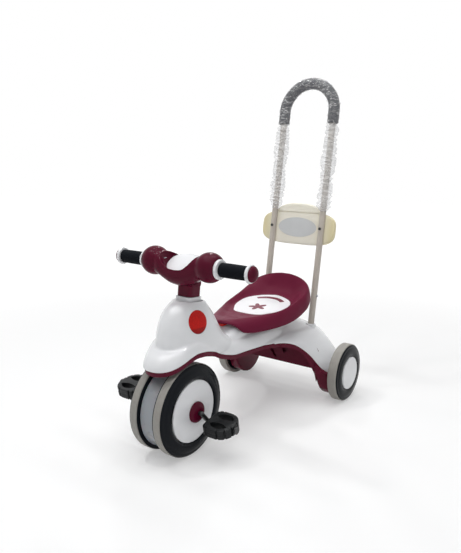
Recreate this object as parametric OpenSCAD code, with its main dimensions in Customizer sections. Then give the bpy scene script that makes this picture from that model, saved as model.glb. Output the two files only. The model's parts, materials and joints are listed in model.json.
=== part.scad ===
// Toddler push along trike with a parent handle. Millimetres, +Z up, nose towards -Y, left side +X.
// Lengths along Y are counted from the front axle. The finished pieces are moved so that the origin
// lies on the ground under the middle of the outline.

/* [Front wheel] */
// Diameter of the double front wheel
front_d = 230; // [224:1:232]
// Width of the double front wheel across its hub caps
front_w = 112; // [108:1:118]
// Width of each of its two discs
disc_w = 33; // [30:1:35]
// Thickness of the grey tread ring
front_tread_t = 11; // [6:0.5:14]
// How far the tyre's edge lies inside the cap's face
edge_in = 7; // [5:0.5:8]
// Diameter of the white hub cap
front_cap_d = 156; // [130:1:166]
// Thickness of the white hub cap
front_cap_t = 6; // [5:0.5:8]
// Diameter of the dome on the hub
dome_d = 52; // [40:1:60]
// Height of the dome on the hub
dome_h = 15; // [10:0.5:18]
// Diameter of the still drum between the two discs
drum_d = 210; // [190:1:218]
// Wall of the drum
drum_wall = 2.5; // [1.5:0.25:4]
// Running gap between the drum and each disc
drum_gap = 1.5; // [0.8:0.1:3]

/* [Pedals] */
// Diameter of the bent crank rod
crank_d = 11; // [9:0.5:12]
// Throw of the crank
crank_r = 40; // [34:1:46]
// Angle of the left crank behind straight down
crank_back = 42; // [0:1:60]
// Length of a pedal along its spindle
pedal_l = 74; // [64:1:84]
// Width of a pedal across its spindle
pedal_w = 80; // [60:1:88]
// Thickness of a pedal
pedal_t = 25; // [21:1:30]
// Forward tilt of the pedals at rest
pedal_tilt = 10; // [0:1:25]
// Number of tread teeth along each side of a pedal
pedal_teeth = 5; // [3:1:7]
// Depth of the notches between the teeth
tooth_depth = 4; // [2:0.5:6]

/* [Rear wheels] */
// Diameter of a rear wheel
rear_d = 171; // [160:1:176]
// Width of a rear wheel with its cap
rear_w = 36; // [32:1:40]
// Width over the two rear hub caps
track = 440; // [420:2:460]
// Distance between the front and rear axles
wheelbase = 534; // [516:2:552]
// Diameter of the white rear hub cap
rear_cap_d = 97; // [80:1:110]
// Thickness of the grey rear tread ring
rear_tread_t = 10; // [6:0.5:12]
// Diameter of the rear axle
axle_d = 10; // [8:0.5:12]
// Gap between a rear wheel and the leg beside it
wheel_gap = 3; // [2:0.5:5]

/* [Steering] */
// Distance of the neck behind the front axle
head_y = 48; // [44:1:52]
// Height of the top of the neck collar
head_z = 383; // [376:1:390]
// Backward lean of the steering axis
head_rake = 6; // [0:0.5:8]
// Diameter of the steering tube
fork_d = 22; // [18:0.5:26]
// Side of the square steering post
post_side = 44; // [38:1:48]
// Side of the white neck collar
collar_side = 50; // [48:1:54]
// Height of the white neck collar
collar_h = 10; // [6:1:14]
// Distance of the handlebar behind the front axle
bar_y = 24; // [20:1:30]
// Height of the handlebar
bar_z = 465; // [458:1:474]
// Width over the end flanges of the handlebar
bar_w = 400; // [370:2:430]
// Diameter of the bar inside the grips
bar_d = 22; // [18:0.5:24]
// Diameter of the black foam grips
grip_d = 34; // [28:1:38]
// Diameter of the white flanges at the grip ends
flange_d = 43; // [38:1:46]
// Width of a flange
flange_t = 8; // [5:0.5:10]
// Diameter of the dome cap on each bar end
bar_cap_d = 37; // [30:1:40]
// Height of the dome cap on each bar end
bar_cap_h = 15; // [8:1:18]
// Diameter of the two bulbs of the housing
bulb_d = 72; // [64:1:76]
// Distance of each bulb from the middle
bulb_x = 84; // [80:1:90]
// Half length of the housing
housing_half = 109; // [106:1:114]
// Diameter of the white collars beside the bulbs
ring_d = 47; // [42:1:49]
// Width of the white collars beside the bulbs
ring_t = 8; // [5:0.5:10]

/* [Body] */
// Wall of the moulded shells
wall = 3; // [2:0.25:4]
// Width of the body at the waist
waist_w = 124; // [116:1:130]
// Height of the top of the body at the waist
waist_z = 254; // [248:1:258]
// Depth of the burgundy band that shows below the white shell
band_h = 13; // [8:1:16]
// Height of the plinth under the seat
plinth_z = 283; // [276:1:285]
// Length of the storage well under the seat
well_l = 150; // [100:2:180]
// Width of the storage well under the seat
well_w = 70; // [50:1:80]
// Diameter of the round leg ends beside the rear wheels
leg_disc_d = 148; // [120:1:152]
// Diameter of the red side reflectors
reflector_d = 57; // [44:1:64]
// Height of the side reflectors
reflector_z = 330; // [322:1:334]

/* [Seat] */
// Length of the seat
seat_l = 350; // [330:2:370]
// Width of the seat
seat_w = 222; // [200:2:236]
// Thickness of the seat moulding
seat_t = 5; // [3:0.5:7]
// Width of the white inlay
inlay_w = 150; // [130:2:156]
// Length of the white inlay
inlay_l = 212; // [180:2:220]
// Thickness of the white inlay
inlay_t = 2; // [1:0.25:3]
// Diameter of the hinge pin
pin_d = 6; // [5:0.5:8]
// Width of the red latch
latch_w = 22; // [16:1:28]
// Travel of the red latch
latch_travel = 4; // [2:0.5:6]

/* [Push handle] */
// Diameter of the handle tube
tube_d = 19; // [17:0.5:22]
// Wall of the handle tube
tube_wall = 1.3; // [1:0.1:2]
// Distance between the two legs of the handle
leg_gap = 168; // [160:2:176]
// Backward lean of the handle
leg_rake = 8.8; // [6:0.2:11]
// Distance of the handle's feet ahead of the rear axle
foot_ahead = 5; // [0:1:12]
// Height of the handle's feet above the ground
foot_z = 217; // [214:1:224]
// Length of the handle from its feet to the middle of the top bend
handle_l = 726; // [680:2:760]
// Length of the lower legs above the body
lower_leg_l = 115; // [100:1:140]
// Diameter of the foam on the top bend
foam_d = 33; // [26:1:38]
// Length of the straight foam below the bend
foam_tail = 37; // [20:1:60]
// Width of the cream plate
plate_w = 254; // [220:2:270]
// Height of the cream plate without its crown
plate_h = 102; // [80:2:110]
// Thickness of the cream plate
plate_t = 14; // [10:1:18]
// Height of the cream plate's lower edge along the handle
plate_s = 236; // [210:2:250]
// Width of the bare oval label on the plate
label_w = 132; // [100:2:140]
// Height of the bare oval label on the plate
label_h = 60; // [40:1:64]
// Diameter of the film wrapped round each leg
wrap_d = 40; // [28:1:42]
// Diameter of the snap buttons
button_d = 7; // [5:0.5:8]
// Travel of the snap buttons
button_travel = 3; // [2:0.5:4]

/* [Clearances] */
// Radial running fit of shafts and pins
run_fit = 0.05; // [0.02:0.01:0.1]
// Gap between pieces that slide or are set into a shell
set_gap = 0.3; // [0.2:0.05:0.5]

/* [Hidden] */
$fn = 64;

// Colours
burgundy = [0.36, 0.07, 0.16];
seat_red = [0.42, 0.14, 0.22];
white = [0.93, 0.93, 0.94];
black = [0.08, 0.09, 0.10];
tread_grey = [0.60, 0.59, 0.56];
drum_grey = [0.62, 0.63, 0.66];
signal_red = [0.76, 0.08, 0.05];
cream = [0.84, 0.80, 0.69];
tube_grey = [0.66, 0.63, 0.58];
foam_grey = [0.33, 0.33, 0.35];
film = [0.93, 0.94, 0.96];
steel = [0.62, 0.63, 0.65];

// Wheels
front_r = front_d / 2;
front_x = front_w / 2;
disc_in = front_x - disc_w;
edge_x = front_x - edge_in;
tread_x = edge_x - 2;
cap_seat = front_x - front_cap_t;
crank_x = front_x + dome_h + crank_d / 2 + 0.5;
pedal_in = crank_x + crank_d / 2 + 1;
pedal_out = pedal_in + pedal_l;
nut_t = 4;
spindle_end = pedal_out + 1 + nut_t;
rear_r = rear_d / 2;
rear_x = track / 2;
rear_in = rear_x - rear_w;
leg_x = rear_in - wheel_gap;
rear_cap_t = 6;
rear_bore_end = rear_x - rear_cap_t - 6;
hub_r = 18;

// Steering axis: a point on it and its unit direction
head_dir = [0, sin(head_rake), cos(head_rake)];
head_foot = head_z / cos(head_rake);
sleeve_r = fork_d / 2 + 5;
post_lift = 1;
post_top = bar_z - head_z - 40;
fork_top = post_top - 2;
bar_half = bar_w / 2;
grip_in = housing_half + ring_t;
grip_out = bar_half - flange_t;

// Push handle: distances along the leaning legs are counted from the feet
foot_y = wheelbase - foot_ahead;
leg_half = leg_gap / 2;
bend_s = handle_l - leg_half;
socket_r = tube_d / 2 + 4.5;
socket_l = 46;
button_s = 86;
spigot_l = 70;
spigot_r = tube_d / 2 - tube_wall - 0.1;
crown_h = 27;
crown_w = 156;
screw_s = plate_s + plate_h / 2 + 2;
screw_d = 4;
groove_r = tube_d / 2 + 0.1;
plate_front = 2;
wrap_from = plate_s + plate_h + 6;
wrap_to = bend_s - foam_tail - 1;

// Seat: its back end follows the rear axle
seat_back = wheelbase - 24;
seat_front = seat_back - seat_l;
hinge_y = seat_back - 40;
hinge_z = plinth_z + 9;
well_back = hinge_y - 30;
latch_y = seat_front + 14;
latch_t = 6;
latch_l = 40;
latch_z = plinth_z - 5;

// The outline's middle along Y becomes the origin
rear_most = foot_y + handle_l * sin(leg_rake) + foam_d / 2;
mid_y = (rear_most - front_r) / 2;

// Half width of the body, counted along Y
body_half = waist_w / 2;
side_rows = [
    [-20, body_half], [130, body_half], [200, body_half + 1], [250, body_half + 4], [300, body_half + 8],
    [wheelbase - 190, body_half + 13], [wheelbase - 130, body_half + 15], [wheelbase - 60, body_half],
    [wheelbase + 20, body_half - 10], [wheelbase + 50, body_half - 22]
];
// Height of the body's spine along Y
spine_rows = [
    [-20, waist_z], [300, waist_z], [wheelbase - 134, waist_z - 6], [wheelbase - 60, waist_z - 14],
    [wheelbase, waist_z - 22], [wheelbase + 50, waist_z - 36]
];
// Lower edge of the white shell along Y
edge_rows = [
    [-120, 231], [-93, 231], [-77, 233], [-57, 239], [-38, 247], [-17, 256], [5, 261], [29, 259], [54, 253],
    [79, 244], [105, 231], [133, 221], [167, 213], [208, 211], [292, 207], [340, 204], [wheelbase + 120, 204]
];
// Plan rings of the tower: height, front, back and half width
tower_top = head_z - collar_h;
tower_rows = [
    [256, -52, 250, body_half], [264, -52, 208, body_half - 0.5], [274, -52, 183, body_half - 1.5],
    [287, -51, 164, body_half - 3], [298, -50, 148, body_half - 5], [314, -47, 132, body_half - 8],
    [340, -39, 114, body_half - 14.5], [tower_top - 14, -27, 99, body_half - 21],
    [tower_top - 3, -12, 90, body_half - 27], [tower_top + 4, 8, 84, body_half - 31]
];
tower_mid = head_y;
// Plan rings of the wheel apron
apron_rows = [
    [215, -86, 150, body_half + 1], [232, -91, 150, body_half + 3], [250, -93, 148, body_half + 4.5],
    [262, -86, 142, body_half + 4.5], [270, -77, 134, body_half + 3.5], [278, -66, 122, body_half + 1.5],
    [284, -52, 104, body_half - 2], [287, -40, 90, body_half - 6]
];
apron_mid = 25;
// Plinth under the seat: distance behind the seat's nose, half width and height below the plinth's top
plinth_rows = [
    [14, 28, 24], [20, 36, 13], [32, 43, 4], [48, 46, 0], [seat_l - 60, 46, 0], [seat_l - 26, 46, 0],
    [seat_l - 14, 42, 20]
];
// Arch over the rear axle: share of the way to the leg's end, front edge and rear edge from the rear
// axle with their heights, and the height of the ridge
arch_rows = [
    [0.00, -240, 204, 50, 190, 240], [0.24, -240, 204, 50, 190, 231], [0.39, -240, 205, 49, 188, 220],
    [0.46, -180, 200, 48, 184, 214], [0.56, -138, 190, 46, 172, 207], [0.66, -110, 174, 44, 154, 197],
    [0.74, -92, 156, 42, 138, 188], [0.82, -76, 130, 40, 116, 177], [0.88, -63, 108, 38, 100, 169],
    [0.94, -50, 91, 36, 88, 162], [1.00, -44, 86, 34, 84, 156]
];
// Seat: share of the way from nose to back, half width share, rim, dish and skirt heights, and the
// place of the roll across the half width
seat_rows = [
    [0.000, 0.13, 298, 297, 291, 0.35], [0.028, 0.33, 297, 296, 286, 0.35],
    [0.065, 0.44, 295, 294, 277, 0.36], [0.090, 0.52, 294, 293, 266, 0.36],
    [0.120, 0.59, 294, 292, 262, 0.37], [0.230, 0.72, 296, 291, 260, 0.42],
    [0.370, 0.84, 300, 290, 260, 0.52], [0.510, 0.94, 308, 291, 262, 0.66],
    [0.690, 1.00, 319, 296, 272, 0.76], [0.800, 1.00, 327, 304, 284, 0.82],
    [0.886, 0.95, 338, 315, 297, 0.85], [0.946, 0.83, 350, 333, 315, 0.86],
    [0.984, 0.56, 361, 354, 334, 0.80], [1.000, 0.25, 365, 362, 345, 0.60]
];
function seat_value(y, column) = lookup((y - seat_front) / seat_l, [for (r = seat_rows) [r[0], r[column]]]);
// The dish is level across its middle, a little above its lowest line
dish_level = 0.06;
function seat_floor(y) = seat_value(y, 3) + dish_level * (seat_value(y, 2) - seat_value(y, 3));
// White inlay: share of its length from the front, and share of its half width
inlay_rows = [
    [0, 0.10], [0.02, 0.27], [0.06, 0.48], [0.15, 0.64], [0.24, 0.76], [0.41, 0.92], [0.53, 0.98], [0.63, 1],
    [0.77, 0.88], [0.88, 0.64], [0.96, 0.32], [1, 0.10]
];
inlay_from = seat_back - 40 - inlay_l;
// Handlebar housing: distance from the middle, and the section's centre and half sizes
housing_rows = [
    [0, 34, -16, 41, 37], [22, 33, -13, 39, 37], [40, 29, -7, 35, 36], [52, 26, -2, 33, 34.5],
    [62, bar_y, 0, bulb_d * 0.45, bulb_d * 0.45], [bulb_x - 10, bar_y, 1, bulb_d * 0.49, bulb_d * 0.49],
    [bulb_x, bar_y, 1, bulb_d / 2, bulb_d / 2], [bulb_x + 12, bar_y, 1, bulb_d * 0.46, bulb_d * 0.46],
    [housing_half - 4, bar_y, 0, bulb_d * 0.39, bulb_d * 0.39],
    [housing_half, bar_y, 0, ring_d / 2 + 0.8, ring_d / 2 + 0.8]
];
// White panel set into the housing: its middle, tilt and half sizes
panel_half = 47;
panel_reach = 33;
panel_y = 37;
panel_up = 4;
panel_tilt = 32;

function power(v, e) = sign(v) * pow(abs(v), e);
function flat(lists) = [for (l = lists) each l];

// Ring in plan: front and back half ovals about a middle line
function plan_ring(z, front, back, half, mid, count = 32, square = 2.15) = [
    for (i = [0:count - 1])
        let (a = -360 * i / count, c = cos(a), s = sin(a))
        [half * power(c, 2 / square), mid + (s < 0 ? mid - front : back - mid) * power(s, 2 / square), z]
];

// Section across the body: a flat foot and a rounded top
function cross_ring(y, half, foot, top, count = 16, square = 5) = concat(
    [for (i = [0:count]) let (a = 180 * i / count)
        [half * power(cos(a), 2 / square), y, foot + (top - foot) * power(sin(a), 2 / square)]]
);

// Section along the body at one distance from the middle: an arch from a front edge to a rear edge,
// with straight feet below it where it is dropped
function arch_ring(x, y1, z1, y2, z2, top, drop, count = 16, square = 2.6) = concat(
    drop > 0 ? [[x, y1, z1 - drop]] : [],
    [for (i = [0:count])
        let (a = 180 * i / count, t = (1 - cos(a)) / 2,
            c = -power(cos(a), 2 / square), s = power(sin(a), 2 / square))
        [x, (y1 + y2) / 2 + (y2 - y1) / 2 * c, (z1 + (z2 - z1) * t) + (top - (z1 + (z2 - z1) * t)) * s]],
    drop > 0 ? [[x, y2, z2 - drop]] : []
);

// Upright oval in the plane across the handlebar
function oval_ring(x, y, z, ry, rz, count = 24) = [
    for (i = [0:count - 1]) let (a = -360 * i / count) [x, y + ry * cos(a), z + rz * sin(a)]
];

// Closed skin through a row of rings with equal counts
module skin(rings) {
    n = len(rings[0]);
    m = len(rings);
    sides = [
        for (j = [0:m - 2], i = [0:n - 1])
            let (a = j * n + i, b = j * n + (i + 1) % n)
            each [[a, b, b + n], [a, b + n, a + n]]
    ];
    first = [for (i = [1:n - 2]) [0, i + 1, i]];
    last = [for (i = [1:n - 2]) [(m - 1) * n, (m - 1) * n + i, (m - 1) * n + i + 1]];
    polyhedron(points = flat(rings), faces = concat(sides, first, last), convexity = 8);
}

// A moulded shape made of joined skins, kept as one skin
module moulded() resize([0, 0, 0]) children();

// A shape drawn as radius and distance along X, turned about a line along X
module turned(y, z) translate([0, y, z]) rotate([0, 90, 0]) rotate_extrude() children();
module rod_x(x1, x2, y, z, d) translate([x1, y, z]) rotate([0, 90, 0]) cylinder(h = x2 - x1, d = d);
module other_side() mirror([1, 0, 0]) children();

// Frames of the steering axis and of the leaning handle
module at_neck() translate([0, head_y, head_z]) rotate([-head_rake, 0, 0]) children();
module at_feet() translate([0, foot_y, foot_z]) rotate([-leg_rake, 0, 0]) children();
module on_leg(side) at_feet() translate([side * leg_half, 0, 0]) children();

// Square with rounded corners
module soft_square(side, r) {
    steps = 6;
    polygon([for (q = [0:3], i = [0:steps])
        let (a = 90 * q + 90 * i / steps, cx = (q == 0 || q == 3) ? 1 : -1, cy = q < 2 ? 1 : -1)
        [cx * (side / 2 - r) + r * cos(a), cy * (side / 2 - r) + r * sin(a)]]);
}

// Body skins, drawn inset by a wall
module tower(inset) skin([for (r = tower_rows)
    plan_ring(r[0] - inset, r[1] + inset, r[2] - inset, r[3] - inset, tower_mid)]);
module apron(inset) skin([for (r = apron_rows)
    plan_ring(r[0] - inset, r[1] + inset, r[2] - inset, r[3] - inset, apron_mid)]);
module waist(inset) skin([for (i = [0:len(side_rows) - 1])
    let (y = side_rows[i][0] + (i == 0 ? inset : 0) - (i == len(side_rows) - 1 ? inset : 0))
    cross_ring(y, side_rows[i][1] - inset, 150, lookup(y, spine_rows) - inset)]);
module plinth(inset) skin([for (r = plinth_rows)
    cross_ring(seat_front + r[0] + inset * (r[0] < seat_l / 2 ? 1 : -1), r[1] - inset, 230,
        plinth_z - r[2] - inset, square = 4)]);
module arch(inset, drop = 0) {
    half = [for (r = arch_rows) let (last = r[0] == 1)
        arch_ring(r[0] * leg_x - (last ? inset : 0), wheelbase + r[1] + inset, r[2], wheelbase + r[3] - inset,
            r[4], r[5] - inset, drop)];
    other = [for (i = [len(half) - 1:-1:1]) [for (p = half[i]) [-p[0], p[1], p[2]]]];
    skin(concat(other, half));
}

// Space below the white shell's edge, lowered by a drop
module below_edge(drop) translate([-400, 0, 0]) rotate([90, 0, 90]) linear_extrude(800)
    polygon(concat([[-200, 0], [-200, edge_rows[0][1] - drop]], [for (r = edge_rows) [r[0], r[1] - drop]],
        [[wheelbase + 200, 204 - drop], [wheelbase + 200, 0]]));

module neck_plane() at_neck() translate([-100, -100, -collar_h]) cube([200, 200, 100]);
module leg_holes() for (s = [-1, 1]) on_leg(s) translate([0, 0, -90])
    cylinder(h = 140, r = socket_r + set_gap, $fn = 40);
reflector_deep = body_half - 20;
reflector_up = 14;
reflector_turn = 13;
module at_reflector() translate([0, head_y - 17, reflector_z - (reflector_deep + 6) * sin(reflector_up)])
    rotate([0, 0, -reflector_turn]) rotate([0, 90 - reflector_up, 0])
        translate([0, 0, reflector_deep]) children();
module reflector_seat(r) at_reflector() cylinder(h = 40, r = r, $fn = 48);

module well() translate([-well_w / 2, well_back - well_l, waist_z - 40]) cube([well_w, well_l, 100]);
module latch_slot() translate([-latch_w / 2 - set_gap, latch_y, latch_z - set_gap])
    cube([latch_w + 2 * set_gap, latch_l + latch_travel + set_gap, latch_t + 2 * set_gap]);

module upper_shell() color(white) moulded() difference() {
    union() {
        difference() {
            union() {
                tower(0);
                apron(0);
                waist(0);
                plinth(0);
            }
            below_edge(0);
        }
        arch(0);
    }
    difference() {
        union() {
            tower(wall);
            apron(wall);
            waist(wall);
            plinth(wall);
        }
        latch_boss();
    }
    arch(wall, 20);
    neck_plane();
    rod_x(-300, 300, wheelbase, rear_r, axle_d + 2 * set_gap);
    at_neck() translate([0, 0, -120]) cylinder(h = 130, r = sleeve_r + set_gap, $fn = 48);
    leg_holes();
    for (s = [0, 1]) mirror([s, 0, 0]) reflector_seat(reflector_d / 2 + set_gap);
    well();
    latch_slot();
}

// Solid block under the latch
module latch_boss() translate([-latch_w / 2 - 6, seat_front, waist_z - 8])
    cube([latch_w + 12, latch_l + 30, plinth_z - waist_z + 8]);

// Burgundy tray under the white shell: a band along the sides, a floor behind the wheel, the inside of
// the arch and a cross panel
module tray_form() difference() {
    inset = wall + set_gap;
    union() {
        tray_band(inset);
        difference() {
            arch(inset, band_h);
            arch(inset + wall, band_h + 20);
        }
        intersection() {
            arch(inset + wall / 2, 100);
            cross_panel();
        }
    }
    tray_hollow(inset + wall);
    for (s = [0, 1]) mirror([s, 0, 0]) translate([leg_x - disc_deep - set_gap, wheelbase - leg_disc_d, 0])
        cube([disc_deep + 10, 2 * leg_disc_d, leg_cut + 2 * set_gap]);
    rod_x(-300, 300, wheelbase, rear_r, axle_d + 2 * set_gap);
    leg_holes();
    for (s = [-1, 1], x = [24, 62]) translate([s * x - 7, panel_at - 20, rear_r + 60]) cube([14, 40, 22]);
}

panel_at = wheelbase - 66;
// The tray ends and the arch lining begins here
lining_from = panel_at - 24;
module behind_tray() translate([-300, lining_from, 0]) cube([600, 300, 500]);
module lower_tray() color(burgundy) moulded() difference() {
    tray_form();
    behind_tray();
}
module arch_lining() color(burgundy) moulded() intersection() {
    tray_form();
    behind_tray();
}
module cross_panel() translate([-leg_x + 22, panel_at, rear_r + 10]) cube([2 * leg_x - 44, wall, 150]);

// Outside of the tray ahead of the cross panel
floor_from = 140;
// Half width of the opening for the steering tube
neck_room = 30;
module tray_band(inset) difference() {
    union() {
        apron(inset);
        intersection() {
            waist(inset);
            translate([-200, 0, 0]) cube([400, panel_at, 300]);
        }
    }
    below_edge(band_h);
    above_edge(8);
}

// Hollow of the tray: open over the wheel, with a floor behind it
module tray_hollow(inset) {
    apron(inset);
    intersection() {
        waist(inset);
        translate([-200, -100, 0]) cube([400, 100 + floor_from, 400]);
    }
    translate([-neck_room, -neck_room, waist_z - 50])
        cube([2 * neck_room, neck_room + head_y + neck_room, 100]);
    intersection() {
        difference() {
            waist(inset);
            below_edge(band_h - wall);
        }
        translate([-200, floor_from + wall, 0]) cube([400, panel_at - floor_from - wall, 400]);
    }
}

// Room above the tray's rim, inside the white shell
module above_edge(rise) translate([-400, 0, 0]) rotate([90, 0, 90]) linear_extrude(800)
    polygon(concat([[-200, 400], [-200, edge_rows[0][1] + rise]], [for (r = edge_rows) [r[0], r[1] + rise]],
        [[wheelbase + 200, 204 + rise], [wheelbase + 200, 400]]));

// Round hollow ends of the rear legs beside the wheels, with a boss for the axle
disc_deep = 36;
leg_cut = arch_rows[len(arch_rows) - 1][4] - set_gap;
module leg_disc() difference() {
    rod_x(leg_x - disc_deep, leg_x, wheelbase, rear_r, leg_disc_d);
    difference() {
        rod_x(leg_x - disc_deep - 1, leg_x - wall, wheelbase, rear_r, leg_disc_d - 2 * wall);
        rod_x(leg_x - disc_deep - 2, leg_x, wheelbase, rear_r, axle_d + 12);
    }
    rod_x(leg_x - disc_deep - 3, leg_x + 1, wheelbase, rear_r, axle_d + 2 * set_gap);
    translate([0, wheelbase - leg_disc_d, leg_cut]) cube([leg_x + 10, 2 * leg_disc_d, 200]);
}
module leg_ends() color(burgundy) for (s = [0, 1]) mirror([s, 0, 0]) leg_disc();

module neck_collar() color(white) at_neck() difference() {
    union() {
        translate([0, 0, -collar_h]) linear_extrude(collar_h) soft_square(collar_side, 11);
        translate([0, 0, -collar_h - 60]) cylinder(h = 60 + 1, r = sleeve_r);
    }
    translate([0, 0, -collar_h - 61]) cylinder(h = 100, d = fork_d + 2 * run_fit);
}

module reflector() at_reflector() {
    cylinder(h = 5, d = reflector_d);
    translate([0, 0, 5]) cylinder(h = 2, d1 = reflector_d, d2 = reflector_d - 8);
}
module left_reflector() color(signal_red) reflector();
module right_reflector() color(signal_red) other_side() reflector();

// Rear axle and wheels
module rear_axle() color(steel)
    rod_x(-rear_bore_end - nut_t, rear_bore_end + nut_t, wheelbase, rear_r, axle_d);
module axle_nuts() color(steel) for (s = [0, 1]) mirror([s, 0, 0]) turned(wheelbase, rear_r)
    translate([axle_d / 2, rear_bore_end + 0.4]) square([4, nut_t - 0.8]);

module rim() turned(wheelbase, rear_r) {
    bore = axle_d / 2 + run_fit;
    outer = rear_r - rear_tread_t;
    cap = rear_cap_d / 2;
    polygon([[bore, rear_in], [bore, rear_bore_end], [hub_r, rear_bore_end], [hub_r, rear_x - rear_cap_t],
        [cap, rear_x - rear_cap_t], [cap + 4, rear_x - rear_cap_t], [cap + 10, rear_x - 3.5],
        [cap + 18, rear_x - 3], [outer + 4, rear_x - 5.5], [rear_r - 2, rear_x - 8], [rear_r - 2, rear_x - 9],
        [outer, rear_x - 9], [outer, rear_in], [outer - 8, rear_in], [outer - 10, rear_in + 8],
        [hub_r + 4, rear_in + 8], [hub_r, rear_in]]);
}
module rear_tread() turned(wheelbase, rear_r) {
    inner = rear_r - rear_tread_t;
    side = rear_x - 9;
    polygon([[inner, rear_in], [inner, side], [rear_r - 1.2, side], [rear_r, side - 1.6],
        [rear_r, rear_in + 1.6],
        [rear_r - 1.2, rear_in]]);
}
module rear_cap() turned(wheelbase, rear_r) {
    r = rear_cap_d / 2;
    polygon([[0, rear_x - 2], [0, rear_x], [r * 0.7, rear_x - 0.6], [r - 2, rear_x - 2], [r, rear_x - 3.5],
        [r, rear_x - rear_cap_t], [hub_r, rear_x - rear_cap_t], [hub_r, rear_x - 2]]);
}
module left_rim() color(black) rim();
module right_rim() color(black) other_side() rim();
module left_rear_tread() color(tread_grey) rear_tread();
module right_rear_tread() color(tread_grey) other_side() rear_tread();
module left_rear_cap() color(white) rear_cap();
module right_rear_cap() color(white) other_side() rear_cap();

// Push handle
module left_socket() color(white) socket(1);
module right_socket() color(white) socket(-1);
module socket(side) on_leg(side) difference() {
    translate([0, 0, -socket_l]) cylinder(h = socket_l, r = socket_r);
    translate([0, 0, -socket_l + 3]) cylinder(h = socket_l, d = tube_d);
}
module button_hole(side) on_leg(side) translate([0, 0, button_s]) rotate([0, 90 * side, 0])
    cylinder(h = 30, d = button_d + 2 * set_gap);
module leg(side) difference() {
    on_leg(side) difference() {
        translate([0, 0, -socket_l + 3]) cylinder(h = socket_l - 3 + lower_leg_l, d = tube_d);
        translate([0, 0, -socket_l]) cylinder(h = 400, d = tube_d - 2 * tube_wall);
    }
    button_hole(side);
}
module left_leg() color(tube_grey) leg(1);
module right_leg() color(tube_grey) leg(-1);

// Half round bend at the top of the handle
module bend(d) translate([0, 0, bend_s]) rotate([90, 0, 0]) rotate_extrude(angle = 180)
    translate([leg_half, 0]) circle(d = d);
module hoop_solid(d, end, inner) {
    bend(d);
    for (s = [-1, 1]) translate([s * leg_half, 0, end]) cylinder(h = bend_s - end, d = d);
    if (inner == false)
        for (s = [-1, 1]) translate([s * leg_half, 0, lower_leg_l - spigot_l])
            cylinder(h = spigot_l, r = spigot_r);
}
module handle_hoop() color(tube_grey) difference() {
    at_feet() difference() {
        hoop_solid(tube_d, lower_leg_l, false);
        hoop_solid(2 * spigot_r - 2 * tube_wall, lower_leg_l - spigot_l - 1, true);
        for (s = [-1, 1]) translate([s * leg_half, -60, screw_s]) rotate([-90, 0, 0])
            cylinder(h = 120, d = screw_d + 0.6);
    }
    button_hole(1);
    button_hole(-1);
}
module hoop_grip() color(foam_grey) at_feet() difference() {
    hoop_solid(foam_d, bend_s - foam_tail, true);
    hoop_solid(tube_d, bend_s - foam_tail - 1, true);
}
module plate_outline() {
    hull() for (s = [-1, 1], t = [0, 1])
        translate([s * (plate_w / 2 - 34), plate_s + 34 + t * (plate_h - 68)]) circle(r = 34);
    translate([0, plate_s + plate_h - 2]) scale_oval(crown_w / 2, crown_h + 2);
}
module handle_plate() color(cream) at_feet() difference() {
    translate([0, plate_t + plate_front, 0]) rotate([90, 0, 0]) linear_extrude(plate_t) plate_outline();
    for (s = [-1, 1]) {
        translate([s * leg_half, 0, 0]) cylinder(h = 1000, r = groove_r);
        translate([s * leg_half, -60, screw_s]) rotate([-90, 0, 0]) cylinder(h = 120, d = screw_d + 0.6);
    }
}
module plate_label() color(white) at_feet()
    translate([0, plate_front, screw_s]) rotate([90, 0, 0]) linear_extrude(0.6)
        scale_oval(label_w / 2, label_h / 2);
module scale_oval(a, b) polygon([for (i = [0:47]) [a * cos(7.5 * i), b * sin(7.5 * i)]]);
module plate_screws() color(steel) at_feet() for (s = [-1, 1])
    translate([s * leg_half, 0, screw_s]) rotate([-90, 0, 0]) {
    translate([0, 0, -tube_d / 2 - 2.2]) cylinder(h = 2.2, d = 9);
    translate([0, 0, -tube_d / 2 - 1]) cylinder(h = tube_d / 2 + 1 + plate_front + plate_t - 2, d = screw_d);
}
module wrap(side) on_leg(side) rotate_extrude() {
    r = tube_d / 2 + 0.1;
    w = 0.6;
    big = wrap_d / 2;
    polygon([[r, wrap_from], [r + w, wrap_from], [big, wrap_from + 14], [big - 2, wrap_from + 60],
        [big, wrap_from + 120],
        [big - 2, wrap_to - 60], [big, wrap_to - 12], [r + w, wrap_to], [r, wrap_to], [big - w, wrap_to - 13],
        [big - 2 - w, wrap_to - 60], [big - w, wrap_from + 120], [big - 2 - w, wrap_from + 60],
        [big - w, wrap_from + 14.6]]);
}
module left_wrap() color(film) wrap(1);
module right_wrap() color(film) wrap(-1);
module snap_button(side) on_leg(side) translate([0, 0, button_s]) rotate([0, 90 * side, 0])
    translate([0, 0, tube_d / 2 - 5.5]) cylinder(h = 8, d = button_d);
module left_button() color(steel) snap_button(1);
module right_button() color(steel) snap_button(-1);

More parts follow.
